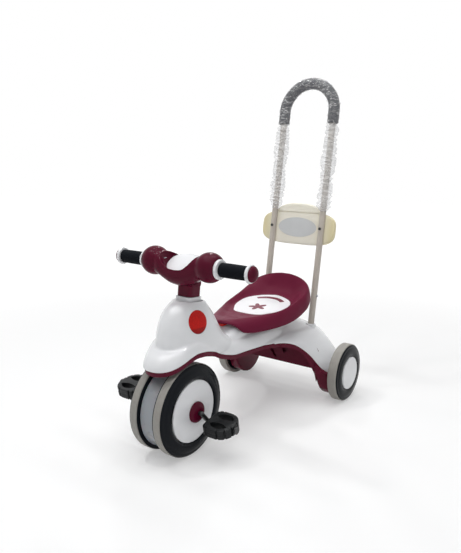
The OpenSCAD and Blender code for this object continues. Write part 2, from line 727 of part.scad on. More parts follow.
// Seat with its hinge and latch
function seat_ring(r, shift, grow) =
    let (y = seat_front + r[0] * seat_l, w = r[1] * seat_w / 2,
        rim = r[2] + shift, dish = r[3] + shift, skirt = r[4],
        h = rim - skirt, roll = r[5],
        half = [[0.30 * roll, dish + (rim - dish) * dish_level], [0.62 * roll, dish + (rim - dish) * 0.5],
            [0.85 * roll, rim - (rim - dish) * 0.12], [roll, rim], [roll + (1 - roll) * 0.36, rim - 0.11 * h],
            [roll + (1 - roll) * 0.7, rim - 0.37 * h], [roll + (1 - roll) * 0.92, rim - 0.7 * h],
            [1, skirt]],
        inner = [for (i = [7:-1:0])
            [half[i][0] * w - (i > 3 ? grow : 0), half[i][1] - (i == 7 ? 0 : seat_t)]])
    concat(
        [for (p = half) [-p[0] * w, y, p[1]]],
        [for (p = inner) [-max(p[0], 0.6), y, max(p[1], skirt)]],
        [for (i = [7:-1:0]) [max(inner[i][0], 0.6), y, max(inner[i][1], skirt)]],
        [for (i = [7:-1:0]) [half[i][0] * w, y, half[i][1]]]
    );
module seat_skin(shift) skin([for (r = seat_rows) seat_ring(r, shift, min(seat_t, r[1] * seat_w * 0.1))]);
module inlay_prism() translate([0, inlay_from, 200]) linear_extrude(300) polygon(concat(
    [for (r = inlay_rows) [r[1] * inlay_w / 2, r[0] * inlay_l]],
    [for (i = [len(inlay_rows) - 1:-1:0]) [-inlay_rows[i][1] * inlay_w / 2, inlay_rows[i][0] * inlay_l]]));
// Two ribs under the seat rest on the plinth
rib_x = 27;
rib_y = seat_front + 52;
rib_l = 24;
rib_top = seat_value(rib_y, 2) - seat_t / 2;
rib_foot = plinth_z - 1.4;
module seat_shell() color(seat_red) moulded() {
    difference() {
        seat_skin(0);
        difference() {
            inlay_prism();
            seat_skin_below();
        }
    }
    for (s = [-1, 1]) translate([s * rib_x - 2, rib_y, rib_foot + set_gap])
        cube([4, rib_l, rib_top - rib_foot]);
}
// Everything up to the floor of the inlay's recess
module seat_skin_below() skin([for (r = seat_rows) let (g = seat_ring(r, -inlay_t, 1), n = 8)
    concat([for (i = [0:n - 1]) g[i]], [[g[n - 1][0], g[0][1], 200], [-g[n - 1][0], g[0][1], 200]],
        [for (i = [len(g) - n:len(g) - 1]) g[i]])]);
module seat_inlay() color(white) moulded() intersection() {
    seat_skin(0);
    difference() {
        inlay_prism();
        seat_skin_below();
    }
}
ear_x = 24;
ear_t = 4;
module hinge_bracket() color(steel) difference() {
    union() {
        translate([-ear_x - ear_t, hinge_y - 10, plinth_z]) cube([2 * (ear_x + ear_t), 20, 2]);
        for (s = [0, 1]) mirror([s, 0, 0]) {
            translate([ear_x, hinge_y - 6, plinth_z]) cube([ear_t, 12, hinge_z - plinth_z]);
            rod_x(ear_x, ear_x + ear_t, hinge_y, hinge_z, 12);
        }
    }
    rod_x(-60, 60, hinge_y, hinge_z, pin_d);
}
module hinge_pin() color(steel) rod_x(-ear_x - ear_t - 1, ear_x + ear_t + 1, hinge_y, hinge_z, pin_d);
leaf_t = 3;
leaf_fit = 0.05;
hinge_top = seat_floor(hinge_y - leaf_t / 2) - seat_t - leaf_fit;
module hinge_leaf() color(steel) difference() {
    union() {
        rod_x(-ear_x + 0.5, ear_x - 0.5, hinge_y, hinge_z, pin_d + 6);
        translate([-ear_x + 0.5, hinge_y - leaf_t / 2, hinge_z])
            cube([2 * ear_x - 1, leaf_t, hinge_top - hinge_z]);
    }
    rod_x(-60, 60, hinge_y, hinge_z, pin_d + 2 * run_fit);
}
module seat_latch() color(signal_red) translate([-latch_w / 2, latch_y, latch_z])
    cube([latch_w, latch_l, latch_t]);

// Steering
module fork() color(steel) difference() {
    union() {
        at_neck() translate([0, 0, -head_foot + front_r])
            cylinder(h = head_foot - front_r + fork_top, d = fork_d);
        rod_x(-disc_in + drum_gap, disc_in - drum_gap, 0, front_r, 46);
    }
    rod_x(-100, 100, 0, front_r, crank_d + 2 * run_fit);
}
module wheel_drum() color(drum_grey) difference() {
    turned(0, front_r) {
        r = drum_d / 2;
        x = disc_in - drum_gap;
        translate([r - drum_wall, -x]) square([drum_wall, 2 * x]);
        translate([23, x - drum_wall]) square([r - 24, drum_wall]);
        translate([23, -x]) square([r - 24, drum_wall]);
    }
    at_neck() translate([0, 0, -head_foot + front_r]) cylinder(h = head_foot, d = fork_d + 2 * set_gap);
}
module steering_post() color(burgundy) at_neck() difference() {
    translate([0, 0, post_lift]) linear_extrude(post_top) soft_square(post_side, 10);
    translate([0, 0, -1]) cylinder(h = fork_top + 1, d = fork_d);
}
stub_in = panel_half + 5;
module bar_stubs() color(steel) for (s = [0, 1]) mirror([s, 0, 0]) difference() {
    rod_x(stub_in, bar_half, bar_y, bar_z, bar_d);
    rod_x(stub_in - 1, bar_half + 1, bar_y, bar_z, bar_d - 3);
}
module housing_skin(inset) skin([for (i = [-len(housing_rows) + 1:len(housing_rows) - 1])
    let (r = housing_rows[abs(i)], end = abs(i) == len(housing_rows) - 1)
    oval_ring(sign(i) * (r[0] - (end ? inset : 0)), r[1], bar_z + r[2], r[3] - inset, r[4] - inset)]);
module panel_prism(high) translate([0, panel_y, bar_z + panel_up]) rotate([panel_tilt, 0, 0])
    translate([0, 0, -wall])
    linear_extrude(high) scale_oval(panel_half, panel_reach);
module bar_housing() color(burgundy) moulded() difference() {
    housing_skin(0);
    housing_skin(wall);
    panel_prism(100);
    at_neck() linear_extrude(post_top + post_lift + 6) soft_square(post_side + 2 * set_gap, 10);
    rod_x(-300, 300, bar_y, bar_z, bar_d + 2 * set_gap);
}
module bar_panel() color(white) moulded() intersection() {
    housing_skin(0);
    panel_prism(wall);
}
module bar_ring() turned(bar_y, bar_z) translate([bar_d / 2, housing_half])
    square([(ring_d - bar_d) / 2, ring_t]);
module grip() turned(bar_y, bar_z) translate([bar_d / 2, grip_in])
    square([(grip_d - bar_d) / 2, grip_out - grip_in]);
module flange() turned(bar_y, bar_z) {
    r = flange_d / 2;
    polygon([[bar_d / 2, grip_out], [r - 1.5, grip_out], [r, grip_out + 1.5], [r, bar_half - 1.5],
        [r - 1.5, bar_half],
        [bar_d / 2, bar_half]]);
}
module bar_cap() turned(bar_y, bar_z) polygon(concat([[0, bar_half]],
    [for (i = [0:12]) let (a = 90 * i / 12) [bar_cap_d / 2 * cos(a), bar_half + bar_cap_h * sin(a)]]));
module left_bar_ring() color(white) bar_ring();
module right_bar_ring() color(white) other_side() bar_ring();
module left_grip() color(black) grip();
module right_grip() color(black) other_side() grip();
module left_flange() color(white) flange();
module right_flange() color(white) other_side() flange();
module left_bar_cap() color(burgundy) bar_cap();
module right_bar_cap() color(burgundy) other_side() bar_cap();

// Front wheel with its bent crank
function crank_at(side) = [crank_r * sin(crank_back) * side, front_r - crank_r * cos(crank_back) * side];
module crank_shaft() color(black) {
    rod_x(-crank_x, crank_x, 0, front_r, crank_d);
    for (s = [-1, 1]) {
        p = crank_at(s);
        translate([s * crank_x, 0, front_r]) rotate([s > 0 ? 180 + crank_back : crank_back, 0, 0])
            cylinder(h = crank_r, d = crank_d);
        translate([s * crank_x, 0, front_r]) sphere(d = crank_d + 1);
        translate([s * crank_x, p[0], p[1]]) sphere(d = crank_d + 1);
        rod_x(s > 0 ? crank_x : -spindle_end, s > 0 ? spindle_end : -crank_x, p[0], p[1], crank_d);
    }
}
module pedal_nuts() color(steel) for (s = [-1, 1]) {
    p = crank_at(s);
    mirror([s < 0 ? 1 : 0, 0, 0]) turned(p[0], p[1])
        translate([crank_d / 2, spindle_end - nut_t]) square([4, nut_t]);
}
module disc() turned(0, front_r) {
    bore = crank_d / 2;
    inner = front_r - front_tread_t;
    cap = front_cap_d / 2;
    polygon([[bore, disc_in], [bore, cap_seat], [cap, cap_seat], [cap + 0.6, front_x - 2.5],
        [cap + 4, front_x - 0.6], [cap + 12, front_x - 0.4], [cap + 22, front_x - 2], [inner + 4, front_x - 4.5],
        [front_r - 1.5, edge_x], [front_r - 1.5, tread_x], [inner, tread_x], [inner, disc_in],
        [inner - 10, disc_in], [inner - 12, disc_in + 10],
        [34, disc_in + 10], [30, disc_in]]);
}
module tread() turned(0, front_r) {
    inner = front_r - front_tread_t;
    polygon([[inner, disc_in], [inner, tread_x], [front_r - 1.2, tread_x], [front_r, tread_x - 1.6],
        [front_r, disc_in + 1.6], [front_r - 1.2, disc_in]]);
}
module front_cap() turned(0, front_r) {
    r = front_cap_d / 2;
    polygon([[crank_d / 2, cap_seat], [r, cap_seat], [r, front_x - 2.5], [r - 2.5, front_x], [r - 8, front_x],
        [dome_d / 2 + 4, front_x - 2], [crank_d / 2, front_x - 2]]);
}
module dome() turned(0, front_r) {
    r = dome_d / 2;
    top = acos(crank_d / 2 / r);
    polygon(concat([[crank_d / 2, front_x - 2]],
        [for (i = [0:12]) let (a = top * i / 12) [r * cos(a), front_x - 2 + (dome_h + 2) * sin(a)]]));
}
module left_disc() color(black) disc();
module right_disc() color(black) other_side() disc();
module left_tread() color(tread_grey) tread();
module right_tread() color(tread_grey) other_side() tread();
module left_front_cap() color(white) front_cap();
module right_front_cap() color(white) other_side() front_cap();
module left_dome() color(burgundy) dome();
module right_dome() color(burgundy) other_side() dome();

// Pedal: an oval block with tread teeth on both sides, two windows and a raised middle
module pedal_outline() difference() {
    scale_oval(pedal_l / 2, pedal_w / 2);
    for (s = [-1, 1], i = [0:pedal_teeth - 1]) {
        x = (i - (pedal_teeth - 1) / 2) * pedal_l * 0.8 / pedal_teeth;
        y = pedal_w / 2 * sqrt(1 - pow(2 * x / pedal_l, 2));
        translate([x - 2, s * y - tooth_depth]) square([4, 2 * tooth_depth]);
    }
}
module pedal(side) {
    p = crank_at(side);
    translate([side * (pedal_in + pedal_l / 2), p[0], p[1]]) rotate([pedal_tilt, 0, 0]) difference() {
        translate([0, 0, -pedal_t / 2]) linear_extrude(pedal_t) pedal_outline();
        for (s = [-1, 1]) translate([-pedal_l * 0.24, s * pedal_w * 0.23 - 6, -pedal_t])
            cube([pedal_l * 0.48, 12, 2 * pedal_t]);
        translate([-pedal_l, 0, 0]) rotate([0, 90, 0]) cylinder(h = 2 * pedal_l, d = crank_d + 2 * run_fit);
    }
}
module left_pedal() color(black) pedal(1);
module right_pedal() color(black) pedal(-1);

module placed() translate([0, -mid_y, 0]) children();

placed() upper_shell();
placed() lower_tray();
placed() arch_lining();
placed() leg_ends();
placed() neck_collar();
placed() left_reflector();
placed() right_reflector();
placed() rear_axle();
placed() axle_nuts();
placed() left_socket();
placed() right_socket();
placed() left_leg();
placed() right_leg();
placed() handle_hoop();
placed() hoop_grip();
placed() handle_plate();
placed() plate_label();
placed() plate_screws();
placed() left_wrap();
placed() right_wrap();
placed() hinge_bracket();
placed() hinge_pin();
placed() seat_shell();
placed() seat_inlay();
placed() hinge_leaf();
placed() seat_latch();
placed() left_button();
placed() right_button();
placed() fork();
placed() wheel_drum();
placed() steering_post();
placed() bar_stubs();
placed() bar_housing();
placed() bar_panel();
placed() left_bar_ring();
placed() right_bar_ring();
placed() left_grip();
placed() right_grip();
placed() left_flange();
placed() right_flange();
placed() left_bar_cap();
placed() right_bar_cap();
placed() crank_shaft();
placed() pedal_nuts();
placed() left_disc();
placed() right_disc();
placed() left_tread();
placed() right_tread();
placed() left_front_cap();
placed() right_front_cap();
placed() left_dome();
placed() right_dome();
placed() left_pedal();
placed() right_pedal();
placed() left_rim();
placed() right_rim();
placed() left_rear_tread();
placed() right_rear_tread();
placed() left_rear_cap();
placed() right_rear_cap();
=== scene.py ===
"""Dresses the toddler push along trike: smooth mouldings, turned wheels, foam, film, light and camera."""

import json
import logging
import math
from dataclasses import dataclass
from enum import Enum
from functools import partial
from typing import Callable, Iterable, Sequence

import bpy
import numpy as np
from mathutils import Matrix, Vector


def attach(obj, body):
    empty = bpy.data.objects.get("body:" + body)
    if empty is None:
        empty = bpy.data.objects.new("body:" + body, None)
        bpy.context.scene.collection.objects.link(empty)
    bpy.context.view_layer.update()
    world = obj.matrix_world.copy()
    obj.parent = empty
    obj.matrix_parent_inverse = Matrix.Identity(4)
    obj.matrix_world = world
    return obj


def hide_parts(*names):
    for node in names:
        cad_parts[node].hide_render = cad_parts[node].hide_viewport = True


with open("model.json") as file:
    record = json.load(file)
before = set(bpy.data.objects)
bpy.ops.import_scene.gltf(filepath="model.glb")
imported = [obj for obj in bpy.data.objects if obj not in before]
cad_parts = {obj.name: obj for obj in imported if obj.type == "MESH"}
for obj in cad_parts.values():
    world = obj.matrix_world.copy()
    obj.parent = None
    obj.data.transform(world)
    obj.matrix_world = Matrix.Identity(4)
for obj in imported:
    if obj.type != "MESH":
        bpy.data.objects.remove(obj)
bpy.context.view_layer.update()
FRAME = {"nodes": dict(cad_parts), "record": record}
LOG = logging.getLogger("trike")

Piece = bpy.types.Object
Socket = bpy.types.NodeSocket
Place = Callable[[np.ndarray], np.ndarray]
Rows = Sequence[Sequence[float]]

# Lengths below are millimetres counted from the front axle; the frame's origin lies this far behind it.
MID_Y = 270.784
# One millimetre, and the distance under which points of a mesh become one, in metres
MM = 0.001
SEAM = 1e-5
SIDE_WORD = {1: "left", -1: "right"}


class Join(Enum):
    """How a tool shape acts on a piece."""

    TAKE_AWAY = "DIFFERENCE"
    KEEP_COMMON = "INTERSECT"


class Grain(Enum):
    """Which fine pattern a moulded surface shows."""

    POLISHED = "polished"
    SATIN = "satin"
    PITTED = "pitted"


# Small helpers for points


def metres(points: np.ndarray) -> np.ndarray:
    """Turns millimetres from the front axle into metres of the shared frame.

    Args:
        points: array whose last axis holds x, y and z.

    Returns:
        The same points in metres.
    """
    moved = np.array(points, dtype=float)
    moved[..., 1] -= MID_Y
    return moved * MM


def smooth_table(rows: Rows, at: np.ndarray) -> np.ndarray:
    """Reads a station table smoothly, without overshoot.

    Args:
        rows: stations, each with its place first and then its values.
        at: places to read.

    Returns:
        One row of values for each place.
    """
    table = np.array(rows, dtype=float)
    place, values = table[:, 0], table[:, 1:]
    step = np.diff(place)
    slope = np.diff(values, axis=0) / step[:, None]
    tangent = np.zeros_like(values)
    tangent[0], tangent[-1] = slope[0], slope[-1]
    for i in range(1, len(place) - 1):
        same = slope[i - 1] * slope[i] > 0
        w1, w2 = 2 * step[i] + step[i - 1], step[i] + 2 * step[i - 1]
        safe_a = np.where(same, slope[i - 1], 1)
        safe_b = np.where(same, slope[i], 1)
        tangent[i] = np.where(same, (w1 + w2) / (w1 / safe_a + w2 / safe_b), 0)
    spot = np.clip(np.searchsorted(place, at, side="right") - 1, 0, len(place) - 2)
    h = step[spot][:, None]
    t = np.clip((at - place[spot])[:, None] / h, 0, 1)
    h00, h10 = 2 * t**3 - 3 * t**2 + 1, t**3 - 2 * t**2 + t
    h01, h11 = -2 * t**3 + 3 * t**2, t**3 - t**2
    ahead = spot + 1
    return h00 * values[spot] + h10 * h * tangent[spot] + h01 * values[ahead] + h11 * h * tangent[ahead]


def power(value: np.ndarray, exponent: float) -> np.ndarray:
    """Raises the size of each number and keeps its sign."""
    return np.sign(value) * np.abs(value) ** exponent


def xyz(*axes: np.ndarray) -> np.ndarray:
    """Makes points of two or three coordinates, each one number for all points or one for each."""
    return np.stack(np.broadcast_arrays(*axes), axis=-1)


def lifted(flat: np.ndarray, height: np.ndarray) -> np.ndarray:
    """Gives flat points their third coordinate."""
    return np.column_stack([flat, np.broadcast_to(height, len(flat))])


def angles(count: int) -> np.ndarray:
    """Gives equal steps round a circle."""
    return np.linspace(0, 2 * math.pi, count, endpoint=False)


def circle(radius: np.ndarray, sides: int, x: float, y: float = 0.0) -> np.ndarray:
    """Gives flat points round a middle, with one radius for all or one for each."""
    a = angles(sides)
    return xyz(x + radius * np.cos(a), y + radius * np.sin(a))


def rounded(corners: Rows, radius: float, steps: int = 4) -> list[tuple[float, float]]:
    """Rounds the corners of a closed flat outline.

    Args:
        corners: outline points in order.
        radius: wanted corner radius; short sides get less.
        steps: points on each corner.

    Returns:
        The rounded outline.
    """
    points = [np.array(c, dtype=float) for c in corners]
    outline: list[tuple[float, float]] = []
    for i, here in enumerate(points):
        back, ahead = points[i - 1] - here, points[(i + 1) % len(points)] - here
        lb, la = np.linalg.norm(back), np.linalg.norm(ahead)
        cosine = float(np.clip(back @ ahead / (lb * la), -1, 1))
        angle = math.acos(cosine)
        if angle > math.radians(172):
            outline.append((float(here[0]), float(here[1])))
            continue
        reach = min(radius / math.tan(angle / 2), 0.45 * lb, 0.45 * la)
        start, end = here + back / lb * reach, here + ahead / la * reach
        for k in range(steps + 1):
            t = k / steps
            spot = (1 - t) ** 2 * start + 2 * t * (1 - t) * here + t**2 * end
            outline.append((float(spot[0]), float(spot[1])))
    return outline


# Small helpers for Blender objects


def clear_selection() -> None:
    """Deselects everything in object mode."""
    bpy.ops.object.select_all(action="DESELECT")


def make_active(piece: Piece) -> None:
    """Selects one piece alone and makes it active."""
    clear_selection()
    piece.select_set(True)
    bpy.context.view_layer.objects.active = piece


def name_piece(piece: Piece, name: str) -> None:
    """Gives a piece and its mesh one name."""
    piece.name = name
    piece.data.name = name


def apply_modifier(piece: Piece, kind: str, **settings: object) -> None:
    """Adds a modifier with its settings and applies it.

    Args:
        piece: mesh object.
        kind: Blender's modifier type.
        **settings: properties of the modifier.
    """
    make_active(piece)
    modifier = piece.modifiers.new(kind.lower(), kind)
    for key, value in settings.items():
        setattr(modifier, key, value)
    bpy.ops.object.modifier_apply(modifier=modifier.name)


def edit_all(piece: Piece, *steps: Callable[[], object]) -> None:
    """Runs mesh operators in edit mode, each on the whole piece.

    Args:
        piece: mesh object.
        *steps: operators with their settings filled in.
    """
    make_active(piece)
    bpy.ops.object.mode_set(mode="EDIT")
    for step in steps:
        bpy.ops.mesh.select_all(action="SELECT")
        step()
    bpy.ops.object.mode_set(mode="OBJECT")


def heal(piece: Piece, caps: bool) -> None:
    """Closes seams and ends of a mesh and turns its faces outwards.

    Args:
        piece: mesh object.
        caps: whether open ends are filled.
    """
    steps = [partial(bpy.ops.mesh.remove_doubles, threshold=SEAM)]
    if caps:
        steps.append(partial(bpy.ops.mesh.fill_holes, sides=0))
    steps.append(partial(bpy.ops.mesh.normals_make_consistent, inside=False))
    edit_all(piece, *steps)


def shade(piece: Piece, degrees: float) -> None:
    """Shades a piece smooth except over edges sharper than an angle."""
    make_active(piece)
    bpy.ops.object.shade_smooth_by_angle(angle=math.radians(degrees))


def set_points(piece: Piece, points: np.ndarray) -> None:
    """Moves all points of a mesh, given in millimetres from the front axle."""
    piece.data.vertices.foreach_set("co", metres(points).ravel())
    piece.data.update()


def read_points(piece: Piece) -> np.ndarray:
    """Reads all points of a mesh in metres."""
    flat = np.empty(len(piece.data.vertices) * 3)
    piece.data.vertices.foreach_get("co", flat)
    return flat.reshape(-1, 3)


def loft(name: str, rings: Sequence[np.ndarray], caps: bool = True) -> Piece:
    """Shapes a grid into a skin through closed rings of equal counts.

    Args:
        name: name of the piece.
        rings: points of each ring in millimetres.
        caps: whether the ends are filled.

    Returns:
        The new piece.
    """
    rings = np.asarray(rings, dtype=float)
    rows, count = rings.shape[:2]
    clear_selection()
    bpy.ops.mesh.primitive_grid_add(x_subdivisions=count, y_subdivisions=rows - 1, size=2)
    piece = bpy.context.active_object
    name_piece(piece, name)
    flat = read_points(piece)
    column = np.rint((flat[:, 0] + 1) / 2 * count).astype(int) % count
    row = np.rint((flat[:, 1] + 1) / 2 * (rows - 1)).astype(int)
    set_points(piece, rings[row, column])
    heal(piece, caps)
    return piece


def turn(name: str, profile: Rows, y: float, z: float, steps: int) -> Piece:
    """Spins a closed profile of radius and distance along X round a line along X.

    Args:
        name: name of the piece.
        profile: pairs of radius and x.
        y: place of the line behind the front axle.
        z: height of the line.
        steps: facets round the line.

    Returns:
        The new piece.
    """
    clear_selection()
    bpy.ops.mesh.primitive_circle_add(vertices=len(profile), radius=1)
    piece = bpy.context.active_object
    name_piece(piece, name)
    set_points(piece, np.array([(x, y + max(r, 0), z) for r, x in profile]))
    centre = tuple(metres(np.array([0, y, z])))
    edit_all(piece, partial(bpy.ops.mesh.spin, steps=steps, angle=2 * math.pi, center=centre, axis=(1, 0, 0)))
    heal(piece, caps=False)
    return piece


def slab(name: str, outline: Rows, low: float, high: float, place: Place, edge: float = 0.0) -> Piece:
    """Fills a flat outline, extrudes it and rounds its rim.

    Args:
        name: name of the piece.
        outline: flat points in order.
        low: height of the lower face.
        high: height of the upper face.
        place: turns points of outline and height into millimetres of the trike.
        edge: width of the rounded rim.

    Returns:
        The new piece.
    """
    flat = np.array(outline, dtype=float)
    piece = loft(name, [place(lifted(flat, h)) for h in (low, high)])
    if edge > 0:
        apply_modifier(piece, "BEVEL", width=edge * MM, segments=3, limit_method="ANGLE",
                       angle_limit=math.radians(50))
    return piece


def rod(radius: float, low: float, high: float, place: Place, x: float = 0.0) -> Piece:
    """Makes a round cutter along a leaning axis."""
    return slab("round_room", circle(radius, 48, x), low, high, place)


def block(x: Sequence[float], y: Sequence[float], z: Sequence[float]) -> Piece:
    """Makes a plain block between two places on each axis."""
    outline = [(y[0], z[0]), (y[1], z[0]), (y[1], z[1]), (y[0], z[1])]
    return slab("block", outline, x[0], x[1], side_view)


def join(name: str, pieces: Iterable[Piece]) -> Piece:
    """Joins several meshes into one piece.

    Args:
        name: name of the joined piece.
        pieces: meshes to join.

    Returns:
        The joined piece.
    """
    group = list(pieces)
    clear_selection()
    for piece in group:
        piece.select_set(True)
    bpy.context.view_layer.objects.active = group[0]
    bpy.ops.object.join()
    whole = bpy.context.active_object
    name_piece(whole, name)
    return whole


def cut(piece: Piece, *tools: Piece, how: Join = Join.TAKE_AWAY) -> None:
    """Takes tool shapes away from a piece, or keeps what it shares with them.

    Args:
        piece: shape that changes.
        *tools: closed shapes that act on it in turn and go afterwards.
        how: kind of action.
    """
    for tool in tools:
        apply_modifier(piece, "BOOLEAN", operation=how.value, solver="MANIFOLD", object=tool)
        bpy.data.objects.remove(tool)


def copy_piece(piece: Piece, name: str) -> Piece:
    """Copies a piece with its own mesh."""
    make_active(piece)
    bpy.ops.object.duplicate()
    other = bpy.context.active_object
    name_piece(other, name)
    return other


def mirrored(piece: Piece, name: str) -> Piece:
    """Makes the copy of a piece for the other side.

    Args:
        piece: left piece.
        name: name of the right piece.

    Returns:
        The right piece, with faces outwards.
    """
    other = copy_piece(piece, name)
    points = read_points(other)
    points[:, 0] *= -1
    other.data.vertices.foreach_set("co", points.ravel())
    other.data.update()
    edit_all(other, bpy.ops.mesh.flip_normals)
    return other


def fatten(piece: Piece, distance: float) -> None:
    """Moves a skin outwards by a distance in millimetres, or inwards where it is negative."""
    edit_all(piece, partial(bpy.ops.transform.shrink_fatten, value=distance * MM))


def smooth(piece: Piece, rounds: int) -> None:
    """Smooths a skin by a number of passes."""
    apply_modifier(piece, "SMOOTH", factor=0.5, iterations=rounds)


def melt(piece: Piece, voxel: float) -> None:
    """Melts joined closed shapes into one skin on a grid of a size in millimetres."""
    apply_modifier(piece, "REMESH", mode="VOXEL", voxel_size=voxel * MM, adaptivity=0.0)


def settle(piece: Piece, body: str, finish: "Finish", *nodes: str) -> None:
    """Dresses a finished piece, ties it to its body and hides the solids that it stands for.

    Args:
        piece: finished mesh.
        body: CAD body that it moves with.
        finish: its finish.
        *nodes: CAD nodes that it replaces.
    """
    piece.data.materials.clear()
    piece.data.materials.append(finish.material())
    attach(piece, body)
    if nodes:
        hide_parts(*nodes)
    LOG.info("%s rides on %s", piece.name, body)


def turned_pair(kind: str, profile: Rows, y: float, z: float, steps: int, finish: "Finish",
                left_body: str, right_body: str) -> None:
    """Turns the left piece of a kind, mirrors it and settles both.

    Args:
        kind: name of the CAD nodes without their side.
        profile: pairs of radius and x of the left piece.
        y: place of the axle behind the front axle.
        z: height of the axle.
        steps: facets round the axle.
        finish: finish of both pieces.
        left_body: CAD body of the left piece.
        right_body: CAD body of the right piece.
    """
    left = turn(f"left_{kind}_skin", profile, y, z, steps)
    shade(left, 35)
    right = mirrored(left, f"right_{kind}_skin")
    settle(left, left_body, finish, f"left_{kind}")
    settle(right, right_body, finish, f"right_{kind}")


# Finishes


def linear(red: int, green: int, blue: int) -> tuple[float, float, float, float]:
    """Turns a screen colour into the linear colour that shaders take."""
    parts = []
    for value in (red, green, blue):
        v = value / 255
        parts.append(v / 12.92 if v <= 0.04045 else ((v + 0.055) / 1.055) ** 2.4)
    return (parts[0], parts[1], parts[2], 1.0)


class Tree:
    """Short way to write the nodes of a material or a world."""

    def __init__(self, owner: bpy.types.ID) -> None:
        """Empties the owner's tree."""
        owner.use_nodes = True
        self.tree = owner.node_tree
        self.tree.nodes.clear()

    def feed(self, socket: Socket, value: object) -> None:
        """Links another node's socket to a socket, or sets its plain value."""
        if isinstance(value, Socket):
            self.tree.links.new(value, socket)
        else:
            socket.default_value = value

    def fill(self, node: bpy.types.Node, **values: object) -> None:
        """Feeds a node's sockets by name, with underscores for spaces."""
        for key, value in values.items():
            self.feed(node.inputs[key.replace("_", " ")], value)

    def node(self, kind: str, **values: object) -> bpy.types.Node:
        """Adds a node and feeds its sockets."""
        made = self.tree.nodes.new("ShaderNode" + kind)
        self.fill(made, **values)
        return made

    def math(self, operation: str, *values: object) -> Socket:
        """Adds a reckoning with sockets or numbers and returns its result."""
        made = self.node("Math")
        made.operation = operation
        for socket, value in zip(made.inputs, values):
            self.feed(socket, value)
        return made.outputs[0]

    def blend(self, share: object, first: object, second: object) -> Socket:
        """Mixes two shaders by the share of the second one."""
        made = self.node("MixShader", Fac=share)
        self.feed(made.inputs[1], first)
        self.feed(made.inputs[2], second)
        return made.outputs["Shader"]


class Nodes(Tree):
    """Short way to write a material's nodes."""

    def __init__(self, name: str) -> None:
        """Starts an empty material with a shader and its output."""
        self.look = bpy.data.materials.new(name)
        super().__init__(self.look)
        self.shader = self.node("BsdfPrincipled")
        self.node("OutputMaterial", Surface=self.shader.outputs["BSDF"])
        self.place = self.node("TexCoord").outputs["Object"]

    def set(self, **values: object) -> None:
        """Feeds the shader's sockets, with underscores for spaces."""
        self.fill(self.shader, **values)

    def axis(self, letter: str) -> Socket:
        """Gives one coordinate on the piece in metres."""
        return self.node("SeparateXYZ", Vector=self.place).outputs[letter]

    def noise(self, scale: float, detail: float, roughness: float = 0.55,
              stretch: tuple[float, float, float] = (1, 1, 1)) -> Socket:
        """Makes a noise pattern on the piece.

        Args:
            scale: repeats per metre.
            detail: number of finer layers.
            roughness: strength of the finer layers.
            stretch: scale along each axis.

        Returns:
            The pattern's value from 0 to 1.
        """
        mapping = self.node("Mapping", Scale=stretch, Vector=self.place)
        made = self.node("TexNoise", Scale=scale, Detail=detail, Roughness=roughness,
                         Vector=mapping.outputs["Vector"])
        return made.outputs["Fac"]

    def cells(self, scale: float) -> Socket:
        """Makes a pattern of small cells and returns the distance inside each."""
        return self.node("TexVoronoi", Scale=scale, Vector=self.place).outputs["Distance"]

    def spread(self, value: Socket, low: float, high: float,
               start: float = 0.3, end: float = 0.7) -> Socket:
        """Maps a pattern to a range of values.

        Args:
            value: pattern from 0 to 1.
            low: value at the start.
            high: value at the end.
            start: pattern value that gives low.
            end: pattern value that gives high.

        Returns:
            The mapped value.
        """
        made = self.node("MapRange", From_Min=start, From_Max=end, To_Min=low, To_Max=high, Value=value)
        return made.outputs["Result"]

    def lines(self, value: Socket, width: float) -> Socket:
        """Makes thin winding lines where a pattern passes its middle value."""
        return self.spread(self.math("ABSOLUTE", self.math("SUBTRACT", value, 0.5)), 1, 0, 0, width)

    def two_tone(self, value: Socket, first: object, second: object) -> Socket:
        """Blends two colours by a pattern and returns the colour."""
        made = self.node("Mix")
        made.data_type = "RGBA"
        self.fill(made, Factor=value, A=first, B=second)
        return made.outputs["Result"]

    def tones(self, value: Socket, colour: tuple, dark: float, light: float) -> Socket:
        """Varies a colour by a pattern between two factors."""
        return self.two_tone(self.spread(value, 0, 1), shaded(colour, dark), shaded(colour, light))

    def relief(self, height: Socket, depth: float, strength: float) -> None:
        """Gives the surface a fine relief of a depth in millimetres."""
        made = self.node("Bump", Strength=strength, Distance=depth * MM, Height=height)
        self.set(Normal=made.outputs["Normal"])


def shaded(colour: tuple, factor: float) -> tuple[float, float, float, float]:
    """Makes a linear colour lighter or darker."""
    return (min(colour[0] * factor, 1), min(colour[1] * factor, 1), min(colour[2] * factor, 1), 1.0)


@dataclass(frozen=True)
class Finish:
    """A finish that several pieces can share."""

    name: str
    slot: str
    colour: tuple
    roughness: float

    def material(self) -> bpy.types.Material:
        """Returns the finish's material, made on first use."""
        found = bpy.data.materials.get(self.name)
        return found if found else self.make()

    def make(self) -> bpy.types.Material:
        """Builds the material's nodes."""
        nodes = Nodes(self.name)
        nodes.set(Base_Color=self.colour, Roughness=self.roughness)
        return nodes.look


